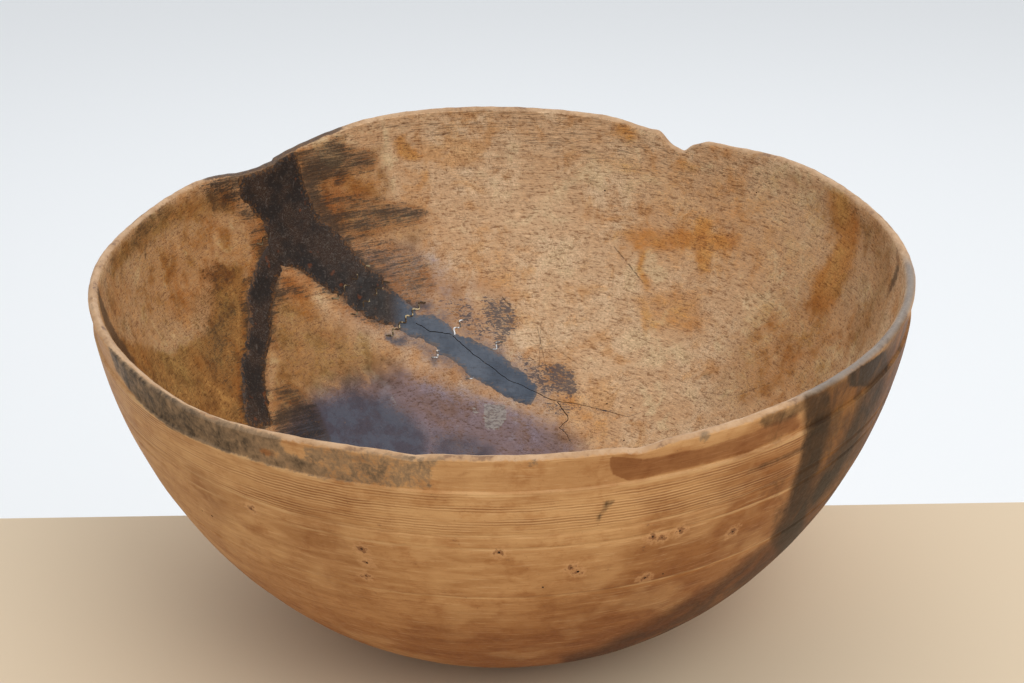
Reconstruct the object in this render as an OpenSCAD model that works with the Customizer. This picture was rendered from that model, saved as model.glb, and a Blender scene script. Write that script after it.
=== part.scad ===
// Old dough bowl, turned from one block of birch. A crack runs down the back left of its wall.
// It is closed with two strips of black filler and held by six corrugated fasteners.
// The origin is the middle of the underside, +Z is up and -Y is the front. Lengths are in mm.
// A place on the inner wall has an azimuth, from +X towards +Y, and a fall: the angle seen from
// the middle of the mouth, 0 straight down to the floor and 90 level with the rim.

/* [Bowl] */
// Outer diameter across the mouth
mouth_d = 440; // [360:1:520]
// Height of the rim before wear
bowl_h = 204; // [170:1:240]
// Diameter of the worn flat that the bowl stands on
base_d = 130; // [100:1:160]
// Thickness of the lip
lip_t = 5.5; // [4.5:0.1:8]
// Thickness of the wood under the hollow
floor_t = 14; // [11:0.5:20]
// Diameter of the flat at the bottom of the hollow
hollow_floor_d = 120; // [80:1:140]
// Power of the outside's curve: the higher, the earlier it turns upright
wall_power = 1.754; // [1.65:0.001:2]
// Power of the hollow's curve, lower than the outside's so that the wall thins upwards
hollow_power = 1.64; // [1.5:0.001:1.68]
// Power of both curves at the base: the higher, the less bulging the wall leaves it
foot_power = 0.579; // [0.5:0.001:0.65]

/* [Rim] */
// How far the deepest chip in the rim reaches down
rim_wear = 11; // [0.5:0.5:14]
// How far the worn edges of the lip fall away from its middle
lip_round = 1.8; // [0.4:0.1:2.5]

/* [Turned lines] */
// Height of the collar under the rim
collar_h = 17.7; // [12:0.1:24]
// How far the collar is turned in behind the ledge under it
collar_depth = 1.4; // [0.4:0.1:2]
// Drop from the rim to the upper turned groove
upper_groove_drop = 43; // [36:0.5:48]
// Drop from the rim to the middle turned groove
middle_groove_drop = 51.5; // [49:0.5:60]
// Drop from the rim to the lower turned groove
lower_groove_drop = 87; // [66:0.5:110]
// Radius of the turning tool that cut the grooves
groove_r = 1.8; // [1.2:0.1:3]
// Depth of a turned groove
groove_depth = 0.6; // [0.2:0.1:1]

/* [Filler strips] */
// Depth of the filler under the face of the wall
filler_sink = 1.2; // [0.6:0.1:2]
// Height of the filler above the face of the wall
filler_rise = 0.6; // [0.3:0.1:1]
// Widest half width of the main strip
main_half_w = 22; // [16:0.5:28]
// Widest half width of the branch strip
branch_half_w = 12; // [8:0.5:16]
// Width of the open crack
crack_w = 1; // [0.6:0.1:2]
// Depth of the open crack in the wood
crack_depth = 3; // [1.5:0.1:4]
// Depth of the crack line in the face of the filler
crack_line_depth = 0.9; // [0.2:0.1:1.2]

/* [Corrugated fasteners] */
// Length of one corrugation
nail_pitch = 6.2; // [4:0.1:8]
// Half corrugations in one fastener
nail_half_waves = 11; // [7:1:13]
// Height of a corrugation from crest to trough
nail_wave_h = 2.8; // [1.6:0.1:4]
// Thickness of the steel strip
nail_t = 0.8; // [0.5:0.1:1.2]
// Depth that a fastener is driven into the wall
nail_depth = 6; // [4:0.1:6.5]
// Height of a buried fastener's edge above the face of the wall
nail_rise = 0.3; // [0.1:0.1:0.5]
// How far the bare fastener stands above the filler
bare_nail_rise = 0.3; // [0.1:0.1:0.6]

/* [Hidden] */
$fn = 180;

mouth_r = mouth_d / 2;
hollow_depth = bowl_h - floor_t;
nail_w = nail_half_waves * nail_pitch / 2;
// How far past a face each cut runs
overrun = 2 * lip_round + filler_rise;
blank_h = bowl_h + rim_wear + overrun;

// Steps along the profiles, close together at the foot and wide apart at the rim
profile_steps = 36;
foot_crowding = 1.7;
step_shares = [for (i = [0:profile_steps]) pow(i / profile_steps, foot_crowding)];

// Swells and dips of the worn rim: azimuth, spread in degrees, and rise as a share of rim_wear
rim_shares = [
    [103, 19, 0.58], [134, 6, -0.9], [151, 8, -0.2], [166, 8, -0.22], [122, 5, -0.25],
    [61.2, 1.5, -0.26], [58.6, 1.5, -0.81], [53, 8, -0.35], [77, 12, 0.1], [35, 9, 0.11],
    [15, 14, -0.07], [-42, 18, 0.16], [-131, 8, -0.3], [-73.5, 1.8, -0.2], [-101, 1.6, -0.12]
];
rim_stations = 120;
// Places across the lip, as shares of half its thickness, where its rounded top is set out
lip_shares = [-2.2, -1.15, -0.6, -0.2, 0.2, 0.6, 1.15, 2.2];
collar_steps = 8;

// Middle line of the main strip: azimuth, fall, and its half widths to the left and right of the
// way down from the rim, as shares of main_half_w
main_line_shares = [
    [131, 88.5, 1, 0.94], [131, 82, 0.96, 0.98], [130, 76.5, 0.95, 0.9], [127.5, 72, 0.93, 0.78],
    [123.5, 66.5, 0.88, 0.56], [117.5, 61.5, 0.64, 0.68], [111.5, 56.5, 0.42, 0.52],
    [105.5, 52, 0.57, 0.34], [99.5, 48, 0.56, 0.36], [92, 43.5, 0.56, 0.38],
    [83.5, 40.5, 0.33, 0.36], [80.5, 39.8, 0.14, 0.14]
];
// Middle line of the branch strip, as shares of branch_half_w
branch_line_shares = [
    [133, 74, 0.85, 0.85], [139, 69, 0.72, 0.78], [143.5, 64, 0.8, 0.6], [149, 58.5, 0.64, 0.72],
    [153.5, 54.5, 0.66, 0.7], [157.5, 50.5, 0.7, 0.9], [161, 47, 1, 1], [163.5, 43.5, 0.5, 0.5]
];
// Azimuth and fall of the open crack, from inside the filler to its end in bare wood
crack_line_angles = [
    [109.5, 55], [106.5, 53], [102, 52], [100.5, 50.5], [97.5, 48], [93.5, 45.5], [89, 43],
    [82.5, 41], [77, 39.5], [70, 39.4], [63.5, 39.2], [54, 39.3], [51, 40.7]
];
// Hairline that leaves the side of the open crack: azimuth and fall
hairline_angles = [[75, 39.1], [71, 36.5], [73, 34.5], [70, 33.2], [67.5, 31.8]];
crack_taper_share = 0.35;
line_substeps = 4;
// Raggedness of a strip's edges, as a share of its half width
ragged_share = 0.06;

// Azimuth, fall and lie of each fastener, the lie turned from level up the wall, and whether it
// stands bare above the filler (1) or has its middle buried (0)
nail_angles = [
    [133, 77, -20, 0], [121, 64.5, 151.5, 0], [118, 61, 150.5, 0],
    [111.5, 56, 147, 1], [102.8, 51.3, 134.5, 0], [94.9, 46.8, 131.5, 0]
];
wave_points = 8;

// The repair is set out on a plane that faces the cracked wall through the mouth
seam_tilt_angle = 55;
seam_swing_angle = -60;
seam_x = [
    cos(seam_tilt_angle) * cos(seam_swing_angle),
    cos(seam_tilt_angle) * sin(seam_swing_angle),
    -sin(seam_tilt_angle)
];
seam_y = [-sin(seam_swing_angle), cos(seam_swing_angle), 0];
seam_reach_share = 0.15;

// Wall profiles
function swell(t, power) = pow(1 - pow(1 - min(max(t, 0), 1), power), foot_power);
function body_r(z) = base_d / 2 + (mouth_r - base_d / 2) * swell(z / bowl_h, wall_power);
function hollow_r(z) =
    hollow_floor_d / 2
    + (mouth_r - lip_t - hollow_floor_d / 2) * swell((z - floor_t) / hollow_depth, hollow_power);

// Slope of the inner wall at a height: 0 upright, 90 level
function wall_slope(z) =
    let (
        step = hollow_depth / (8 * profile_steps),
        low = max(z - step, floor_t),
        high = min(z + step, bowl_h)
    )
    atan2(hollow_r(high) - hollow_r(low), high - low);

// Places on the inner wall
fall_heights = [
    for (s = step_shares) let (z = floor_t + s * hollow_depth) [atan2(hollow_r(z), bowl_h - z), z]
];
function wall_point(azimuth, fall) =
    let (z = lookup(fall, fall_heights)) [hollow_r(z) * cos(azimuth), hollow_r(z) * sin(azimuth), z];
function seam_point(azimuth, fall) =
    let (p = wall_point(azimuth, fall)) [p * seam_x, p * seam_y];

// Height of the worn rim at an azimuth
function turned(a) = (a + 540) % 360 - 180;
function rim_rise(azimuth) =
    rim_wear * [for (w = rim_shares) w[2] * exp(-pow(turned(azimuth - w[0]) / w[1], 2) / 2)]
        * [for (w = rim_shares) 1];

// A smooth line through stations, each a list of numbers
function between(a, b, c, d, t) =
    b + t * ((c - a) / 2 + t * (a - 2.5 * b + 2 * c - d / 2 + t * ((d - a) / 2 + 1.5 * (b - c))));
function smooth_line(line, n) =
    let (last = len(line) - 1)
    [
        for (i = [0:last - 1], k = [0:n - 1])
            between(line[max(i - 1, 0)], line[i], line[i + 1], line[min(i + 2, last)], k / n),
        line[last]
    ];
function along(points, i) =
    let (d = points[min(i + 1, len(points) - 1)] - points[max(i - 1, 0)]) d / norm(d);
function across(points, i) = let (d = along(points, i)) [-d[1], d[0]];

// Edge raggedness at a step, from three waves that never fall into step
function ragged(i) = ragged_share * (sin(i * 137) + 0.6 * sin(i * 71 + 40) + 0.5 * sin(i * 211));

// The bowl before its rim wore down, turned with its collar and grooves
module blank() {
    rotate_extrude()
    difference() {
        polygon(concat(
            [[0, 0]],
            [for (s = step_shares) [body_r(s * bowl_h), s * bowl_h]],
            [[mouth_r, blank_h], [0, blank_h]]
        ));
        collar_cut();
        for (drop = [upper_groove_drop, middle_groove_drop, lower_groove_drop])
            translate([body_r(bowl_h - drop) + groove_r - groove_depth, bowl_h - drop])
            circle(r = groove_r, $fn = 24);
    }
}

// Cove of the collar, deepest over the ledge and running out at the rim
module collar_cut() {
    ledge_z = bowl_h - collar_h;
    polygon(concat(
        [[mouth_r + overrun, bowl_h], [mouth_r + overrun, ledge_z], [body_r(ledge_z), ledge_z]],
        [
            for (i = [0:collar_steps])
                let (z = ledge_z + collar_depth / 2 + i / collar_steps * (collar_h - collar_depth / 2))
                [body_r(z) - collar_depth * cos(90 * i / collar_steps), z]
        ]
    ));
}

// The hollow, with its wall moved into the wood by grow
module hollow(grow) {
    rotate_extrude()
    polygon(concat(
        [[0, floor_t - grow]],
        [
            for (s = step_shares)
                let (z = floor_t + s * hollow_depth, slope = wall_slope(z))
                [hollow_r(z) + grow * cos(slope), z - grow * sin(slope)]
        ],
        [[mouth_r - lip_t + grow, blank_h + overrun], [0, blank_h + overrun]]
    ));
}

function rim_azimuth(k) = 360 * (k + 1 / 2) / rim_stations;

// What wear took off the rim: a ring over the lip whose underside leaves a rounded, uneven edge
module rim_wear_cut() {
    n = len(lip_shares) + 2;
    lip_r = mouth_r - lip_t / 2;
    rings = [
        for (k = [0:rim_stations - 1])
            let (azimuth = rim_azimuth(k), top = bowl_h + rim_rise(azimuth))
            concat(
                [
                    for (s = lip_shares)
                        [lip_r + s * lip_t / 2, top - lip_round * s * s]
                ],
                [
                    [lip_r + lip_shares[n - 3] * lip_t / 2, blank_h + overrun],
                    [lip_r + lip_shares[0] * lip_t / 2, blank_h + overrun]
                ]
            )
    ];
    points = [
        for (k = [0:rim_stations - 1], p = rings[k])
            let (azimuth = rim_azimuth(k)) [p[0] * cos(azimuth), p[0] * sin(azimuth), p[1]]
    ];
    faces = [
        for (k = [0:rim_stations - 1], j = [0:n - 1])
            let (a = k * n + j, b = k * n + (j + 1) % n,
                c = ((k + 1) % rim_stations) * n + (j + 1) % n, d = ((k + 1) % rim_stations) * n + j)
            each [[a, b, c], [a, c, d]]
    ];
    polyhedron(points, faces);
}

// Runs a flat outline on the repair plane back through the cracked wall
module through_wall() {
    rotate([0, seam_tilt_angle, seam_swing_angle])
    translate([0, 0, -mouth_d / 2])
    linear_extrude(mouth_d / 2 + seam_reach_share * mouth_r)
    children();
}

module strip_outline(line_shares, half_w) {
    line = smooth_line(line_shares, line_substeps);
    points = [for (p = line) seam_point(p[0], p[1])];
    last = len(line) - 1;
    left = [for (i = [0:last]) half_w * line[i][2] * (1 + ragged(i))];
    right = [for (i = [0:last]) half_w * line[i][3] * (1 + ragged(i + last))];
    start = points[0] - half_w * along(points, 0);
    polygon(concat(
        [start + left[0] * across(points, 0)],
        [for (i = [0:last]) points[i] + left[i] * across(points, i)],
        [for (i = [last:-1:0]) points[i] - right[i] * across(points, i)],
        [start - right[0] * across(points, 0)]
    ));
}

module main_outline() {
    strip_outline(main_line_shares, main_half_w);
}

module branch_outline() {
    difference() {
        strip_outline(branch_line_shares, branch_half_w);
        main_outline();
    }
}

// Outline of a crack that narrows to its end
module crack_outline(line, width) {
    smooth = smooth_line(line, 2);
    points = [for (p = smooth) seam_point(p[0], p[1])];
    last = len(points) - 1;
    half = [for (i = [0:last]) width / 2 * (1 - (1 - crack_taper_share) * i / last)];
    polygon(concat(
        [for (i = [0:last]) points[i] + half[i] * across(points, i)],
        [for (i = [last:-1:0]) points[i] - half[i] * across(points, i)]
    ));
}

// The open crack and its hairline, down to a depth under the face of the wall
module crack(depth) {
    intersection() {
        through_wall() {
            crack_outline(crack_line_angles, crack_w);
            crack_outline(hairline_angles, crack_w * crack_taper_share);
        }
        hollow(depth);
    }
}

// Bed of a filler strip, cut into the face of the wall
module filler_bed() {
    intersection() {
        through_wall() children();
        hollow(filler_sink);
    }
}

// One filler strip: fills its bed and stands proud of the wall
module filler() {
    difference() {
        filler_bed() children();
        hollow(-filler_rise);
        crack_line_cut();
        for (i = [0:len(nail_angles) - 1]) wiggle_nail(i);
    }
}

// The crack where it shows again as a line in the face of the filler
module crack_line_cut() {
    intersection() {
        through_wall() crack_outline(crack_line_angles, crack_w);
        hollow(crack_line_depth - filler_rise);
    }
}

// Steel strip bent into waves, seen on edge
function wave_point(x, side) =
    let (
        turn = 360 * x / nail_pitch,
        rise = nail_wave_h / 2 * sin(turn),
        slope = atan(PI * nail_wave_h / nail_pitch * cos(turn))
    )
    [x - side * nail_t / 2 * sin(slope), rise + side * nail_t / 2 * cos(slope)];

module wave_outline() {
    n = nail_half_waves * wave_points / 2;
    xs = [for (i = [0:n]) nail_w * (i / n - 1 / 2)];
    polygon(concat(
        [for (x = xs) wave_point(x, -1)],
        [for (i = [n:-1:0]) wave_point(xs[i], 1)]
    ));
}

// One corrugated fastener, driven square to the wall and dressed to its curve
module wiggle_nail(i) {
    place = nail_angles[i];
    p = wall_point(place[0], place[1]);
    headroom = nail_w * nail_w / mouth_d;
    difference() {
        translate(p)
        rotate([0, wall_slope(p[2]) - 90, place[0]])
        rotate([0, 0, 90 - place[2]])
        translate([0, 0, -nail_depth])
        linear_extrude(nail_depth + headroom)
        wave_outline();
        hollow(place[3] == 1 ? -filler_rise - bare_nail_rise : -nail_rise);
    }
}

module bowl_body() {
    color("peru")
    difference() {
        blank();
        hollow(0);
        rim_wear_cut();
        crack(crack_depth);
        filler_bed() {
            main_outline();
            strip_outline(branch_line_shares, branch_half_w);
        }
        for (i = [0:len(nail_angles) - 1]) wiggle_nail(i);
    }
}

// The main strip runs up to the rim and is worn down with it
module main_crack_filler() {
    color("darkslategray")
    difference() {
        filler() main_outline();
        rim_wear_cut();
    }
}

module branch_crack_filler() {
    color("black")
    filler() branch_outline();
}

module steel_nail(i) {
    color("silver")
    wiggle_nail(i);
}

bowl_body();
main_crack_filler();
branch_crack_filler();
steel_nail(0);  // wiggle_nail_1
steel_nail(1);  // wiggle_nail_2
steel_nail(2);  // wiggle_nail_3
steel_nail(3);  // wiggle_nail_4
steel_nail(4);  // wiggle_nail_5
steel_nail(5);  // wiggle_nail_6
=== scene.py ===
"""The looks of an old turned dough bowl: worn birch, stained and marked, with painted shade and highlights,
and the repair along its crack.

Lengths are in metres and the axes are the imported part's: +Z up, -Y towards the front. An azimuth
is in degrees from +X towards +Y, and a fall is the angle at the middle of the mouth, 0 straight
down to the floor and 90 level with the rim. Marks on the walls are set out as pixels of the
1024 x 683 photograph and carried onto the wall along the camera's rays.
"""
import logging
import math
from dataclasses import dataclass
from enum import Enum
from typing import Any

import bmesh
import bpy
import numpy as np
from mathutils import Matrix, Vector
from mathutils.geometry import delaunay_2d_cdt


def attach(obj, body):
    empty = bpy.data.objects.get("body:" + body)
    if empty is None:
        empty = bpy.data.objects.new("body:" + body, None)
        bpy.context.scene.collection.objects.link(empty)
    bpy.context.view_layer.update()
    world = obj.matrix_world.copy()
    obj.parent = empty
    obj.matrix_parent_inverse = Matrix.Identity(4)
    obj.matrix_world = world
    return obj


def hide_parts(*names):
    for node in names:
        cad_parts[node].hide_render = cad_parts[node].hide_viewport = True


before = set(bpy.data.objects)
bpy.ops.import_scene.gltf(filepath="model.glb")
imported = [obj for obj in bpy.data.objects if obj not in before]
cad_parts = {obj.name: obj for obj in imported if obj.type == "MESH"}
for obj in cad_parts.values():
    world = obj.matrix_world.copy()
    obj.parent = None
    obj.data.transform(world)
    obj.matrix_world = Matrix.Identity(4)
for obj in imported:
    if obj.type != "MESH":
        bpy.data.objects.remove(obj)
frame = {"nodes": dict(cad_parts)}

log = logging.getLogger("dough_bowl")

MM = 0.001
Colour = tuple[float, float, float]
Place = tuple[float, float, float]
Pixel = tuple[float, float]
Line = tuple[tuple[float, float], ...]
Track = tuple[tuple[float, float, float], ...]


def tone(red: int, green: int, blue: int) -> Colour:
    """A colour in linear light from its display values, 0 to 255."""
    return tuple(
        (c / 255 / 12.92) if c <= 10 else ((c / 255 + 0.055) / 1.055) ** 2.4 for c in (red, green, blue)
    )


def smooth(x: np.ndarray) -> np.ndarray:
    """A soft step from 0 to 1 over 0 to 1."""
    x = np.clip(x, 0, 1)
    return x * x * (3 - 2 * x)


def away(azimuth: np.ndarray, middle: float) -> np.ndarray:
    """How far azimuths lie from a middle one, in degrees from -180 to 180."""
    return (azimuth - middle + 180) % 360 - 180


def azimuths_of(places: np.ndarray) -> np.ndarray:
    """Azimuths of places, in degrees."""
    return np.degrees(np.arctan2(places[:, 1], places[:, 0]))


def ring(r: np.ndarray, azimuth: np.ndarray, z: np.ndarray) -> np.ndarray:
    """Places at radii, azimuths and heights, one row each."""
    around = np.radians(azimuth)
    return np.stack([r * np.cos(around), r * np.sin(around), z], -1)


def unit(ways: np.ndarray) -> np.ndarray:
    """Ways, one in a row, brought to a length of 1."""
    return ways / np.linalg.norm(ways, axis=-1, keepdims=True)


class Side(Enum):
    """The wall's two faces."""

    INSIDE = "inside"
    OUTSIDE = "outside"


# The turned form


@dataclass(frozen=True)
class Turning:
    """The turned bowl and its worn rim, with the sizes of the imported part.

    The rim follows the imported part's rule of wear, with a finer notch at the back right and a front
    that the last two shares lift a little.
    """

    mouth_r: float = 0.220
    height: float = 0.204
    foot_r: float = 0.065
    lip_t: float = 0.0055
    floor_t: float = 0.014
    floor_r: float = 0.060
    wall_power: float = 1.754
    hollow_power: float = 1.64
    foot_power: float = 0.579
    rim_wear: float = 0.011
    lip_round: float = 0.0018
    collar_h: float = 0.0177
    collar_depth: float = 0.0014
    groove_drops: tuple[float, ...] = (0.043, 0.0515, 0.087)
    groove_half_w: float = 0.0014
    groove_depth: float = 0.0006
    rim_shares: Track = (
        (103, 19, 0.58), (134, 6, -0.9), (151, 8, -0.2), (166, 8, -0.22), (122, 5, -0.25),
        (67.4, 1.8, -0.12), (64.5, 1.6, -0.2), (61.2, 0.9, -0.4), (60, 0.8, -0.5), (58.9, 0.7, -0.4),
        (57.9, 0.7, -0.52), (56.5, 1.4, -0.38), (53, 8, -0.35), (77, 12, 0.1), (35, 9, 0.11),
        (15, 14, -0.07), (-42, 18, 0.16), (-131, 8, -0.3), (-73.5, 1.8, -0.2), (-101, 1.6, -0.12),
        (-90, 62, 0.13), (-104, 10, 0.05),
    )
    nick: float = 0.00025
    nick_waves: tuple[tuple[int, int], ...] = ((53, 0), (97, 1), (151, 2))
    step_at: float = 130.3
    step: float = 0.0005
    step_spread: float = 4.0
    steepest: float = 30.0

    def swell(self, t: np.ndarray, power: float) -> np.ndarray:
        """How far a wall has swung out at a share of its height."""
        return (1 - (1 - np.clip(t, 0, 1)) ** power) ** self.foot_power

    def plain_r(self, z: np.ndarray) -> np.ndarray:
        """Radius of the outside before the collar and grooves are turned in."""
        return self.foot_r + (self.mouth_r - self.foot_r) * self.swell(z / self.height, self.wall_power)

    def outer_r(self, z: np.ndarray) -> np.ndarray:
        """Radius of the outside with its collar and grooves."""
        above, half = z - self.height + self.collar_h, self.collar_depth / 2
        up = np.clip((above - half) / (self.collar_h - half), 0, 1)
        r = self.plain_r(z) - self.collar_depth * np.cos(up * math.pi / 2) * np.clip(above / half, 0, 1)
        for drop in self.groove_drops:
            off = (z - self.height + drop) / self.groove_half_w
            r = r - self.groove_depth * np.clip(1 - off * off, 0, 1)
        return r

    def inner_r(self, z: np.ndarray) -> np.ndarray:
        """Radius of the hollow."""
        t = (z - self.floor_t) / (self.height - self.floor_t)
        return self.floor_r + (self.mouth_r - self.lip_t - self.floor_r) * self.swell(t, self.hollow_power)

    def rim_z(self, azimuth: np.ndarray) -> np.ndarray:
        """Height of the worn rim at azimuths in degrees, with its small nicks."""
        rise = np.zeros_like(azimuth, float)
        for middle, spread, share in self.rim_shares:
            rise += share * np.exp(-((away(azimuth, middle) / spread) ** 2) / 2)
        past = away(azimuth, self.step_at)
        sheared = -np.sign(past) * self.step * np.exp(-np.abs(past) / self.step_spread)
        around = np.radians(azimuth)
        nicks = sum(np.sin(count * around + start) for count, start in self.nick_waves)
        return self.height + self.rim_wear * rise + sheared - self.nick * (1 + nicks / len(self.nick_waves))

    def fall_z(self, fall: np.ndarray) -> np.ndarray:
        """Height of the inner wall at a fall in degrees."""
        z = np.linspace(self.floor_t, self.height, 600)
        return np.interp(fall, np.degrees(np.arctan2(self.inner_r(z), self.height - z)), z)

    def wall(self, azimuth: np.ndarray, fall: np.ndarray) -> np.ndarray:
        """Places on the inner wall, one row each."""
        z = self.fall_z(fall)
        return ring(self.inner_r(z), azimuth, z)

    def off_wall(self, places: np.ndarray, side: Side = Side.INSIDE) -> np.ndarray:
        """Unit ways square to a face of the wall, out of the wood."""
        radius = self.inner_r if side is Side.INSIDE else self.plain_r
        z, least = places[:, 2], 0.001 * MM
        slope = (radius(z + MM) - radius(z - MM)) / (2 * MM)
        r = np.maximum(np.hypot(places[:, 0], places[:, 1]), least)
        x, y = places[:, 0] / r, places[:, 1] / r
        inward = unit(np.stack([-x, -y, np.clip(slope, 0, self.steepest)], -1))
        return inward if side is Side.INSIDE else -inward


# The photograph's view


@dataclass(frozen=True)
class View:
    """The photograph's camera, and the rays through its pixels."""

    place: Place = (0.0049, -0.9816, 0.6486)
    dip: float = 26.83
    roll: float = -0.91
    focus: float = 1996.0
    wide: int = 1024
    high: int = 683
    film: float = 36.0
    nearest: float = 0.6
    farthest: float = 1.6
    steps: int = 4000

    def axes(self) -> np.ndarray:
        """Rows: the directions to the right, up and ahead."""
        dip, roll = math.radians(self.dip), math.radians(self.roll)
        ahead = np.array([0, math.cos(dip), -math.sin(dip)])
        right, up = np.array([1.0, 0, 0]), np.array([0, math.sin(dip), math.cos(dip)])
        turn, lean = math.cos(roll), math.sin(roll)
        return np.array([turn * right + lean * up, turn * up - lean * right, ahead])

    def build(self) -> None:
        """Makes the camera and gives it to the scene."""
        data = bpy.data.cameras.new("photo_camera")
        data.sensor_width = self.film
        data.lens = self.focus * self.film / self.wide
        camera = bpy.data.objects.new("photo_camera", data)
        right, up, ahead = self.axes()
        turn = Matrix((right, up, -ahead)).transposed().to_4x4()
        camera.matrix_world = Matrix.Translation(Vector(self.place)) @ turn
        bpy.context.scene.collection.objects.link(camera)
        bpy.context.scene.camera = camera

    def ray(self, x: Any, y: Any) -> np.ndarray:
        """The way from the camera through a pixel, or through each of many."""
        right, up, ahead = self.axes()
        across = (np.asarray(x, float) - self.wide / 2) / self.focus
        down = (np.asarray(y, float) - self.high / 2) / self.focus
        return ahead + across[..., None] * right - down[..., None] * up

    def pixel(self, places: np.ndarray) -> np.ndarray:
        """The pixels that places are seen at."""
        right, up, ahead = self.axes()
        way = places - np.array(self.place)
        depth = way @ ahead / self.focus
        return np.stack([self.wide / 2 + way @ right / depth, self.high / 2 - way @ up / depth], 1)

    def facing(self, places: np.ndarray, side: Side, turning: Turning) -> np.ndarray:
        """How squarely a face of the wall is seen at places: 1 square on, below 0 from behind."""
        return np.sum(turning.off_wall(places, side) * unit(np.array(self.place) - places), axis=1)

    def on_wall(self, x: np.ndarray, y: np.ndarray, side: Side, turning: Turning) -> np.ndarray:
        """Where rays through pixels meet a face of the wall.

        Args:
            x: Pixels across the photograph.
            y: Pixels down it.
            side: The face of the wall that they show.
            turning: The bowl's form.

        Returns:
            One place in a row for each pixel.
        """
        reach = np.linspace(self.nearest, self.farthest, self.steps)
        path = np.array(self.place) + reach[None, :, None] * self.ray(x, y)[:, None, :]
        r, z = np.hypot(path[..., 0], path[..., 1]), path[..., 2]
        if side is Side.OUTSIDE:
            hit = (r < turning.plain_r(z)) & (z >= 0) & (z <= turning.height)
        else:
            hollow = (z < turning.height) & (r < turning.inner_r(z)) & (z > turning.floor_t)
            hit = np.logical_or.accumulate(hollow, axis=1) & ~hollow
        return path[np.arange(len(x)), np.argmax(hit, axis=1)]

    def spot(self, x: float, y: float, side: Side, turning: Turning) -> np.ndarray:
        """Where the ray through one pixel meets a face of the wall."""
        return self.on_wall(np.array([x]), np.array([y]), side, turning)[0]


# Marks laid on the walls


@dataclass(frozen=True)
class Stroke:
    """A smear along photographed pixels, each with its half width, soft over so many millimetres."""

    track: Track
    soft: float = 8.0
    strength: float = 1.0


@dataclass(frozen=True)
class Patch:
    """A stain whose edge runs through photographed pixels, soft over so many pixels."""

    edge: tuple[Pixel, ...]
    soft: float = 12.0
    strength: float = 1.0

    def cover(self, pixels: np.ndarray) -> np.ndarray:
        """The cover at pixels, at half on the edge."""
        ends = np.array(self.edge, float)
        nearest, inside = np.full(len(pixels), np.inf), np.zeros(len(pixels), bool)
        for a, c in zip(ends, np.roll(ends, -1, 0)):
            run = c - a
            share = np.clip((pixels - a) @ run / (run @ run), 0, 1)
            nearest = np.minimum(nearest, np.linalg.norm(pixels - a - share[:, None] * run, axis=1))
            rise = run[1] if run[1] else 1e-9
            past = (a[1] > pixels[:, 1]) != (c[1] > pixels[:, 1])
            inside ^= past & (pixels[:, 0] < a[0] + (pixels[:, 1] - a[1]) / rise * run[0])
        off = np.where(inside, nearest, -nearest)
        return self.strength * smooth(0.5 + off / self.soft)


@dataclass(frozen=True)
class Field:
    """How strongly one kind of mark covers a face of the wall, kept as a mesh attribute.

    Patches fade where the face turns away from the view, the faster the higher the fade.
    """

    name: str
    side: Side
    strokes: tuple[Stroke, ...] = ()
    patches: tuple[Patch, ...] = ()
    fade: float = 1.8

    def cover(self, places: np.ndarray, view: View, turning: Turning) -> np.ndarray:
        """The cover from 0 to 1 at each place, at half where a stroke's edge lies."""
        total = np.zeros(len(places))
        for stroke in self.strokes:
            x, y, half = (np.array(c, float) for c in zip(*stroke.track))
            points = view.on_wall(x, y, self.side, turning)
            ends = [(0, 0)] if len(points) == 1 else [(i, i + 1) for i in range(len(points) - 1)]
            over = np.full(len(places), np.inf)
            for i, j in ends:
                run = points[j] - points[i]
                share = np.clip((places - points[i]) @ run / max(run @ run, 1e-12), 0, 1)
                off = np.linalg.norm(places - points[i] - share[:, None] * run, axis=1)
                over = np.minimum(over, off / MM - half[i] - share * (half[j] - half[i]))
            total = np.maximum(total, stroke.strength * np.clip(0.5 - over / stroke.soft, 0, 1))
        if self.patches:
            pixels = view.pixel(places)
            seen = smooth(1 + self.fade * view.facing(places, self.side, turning))
            for patch in self.patches:
                total = np.maximum(total, patch.cover(pixels) * seen)
        return total


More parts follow.
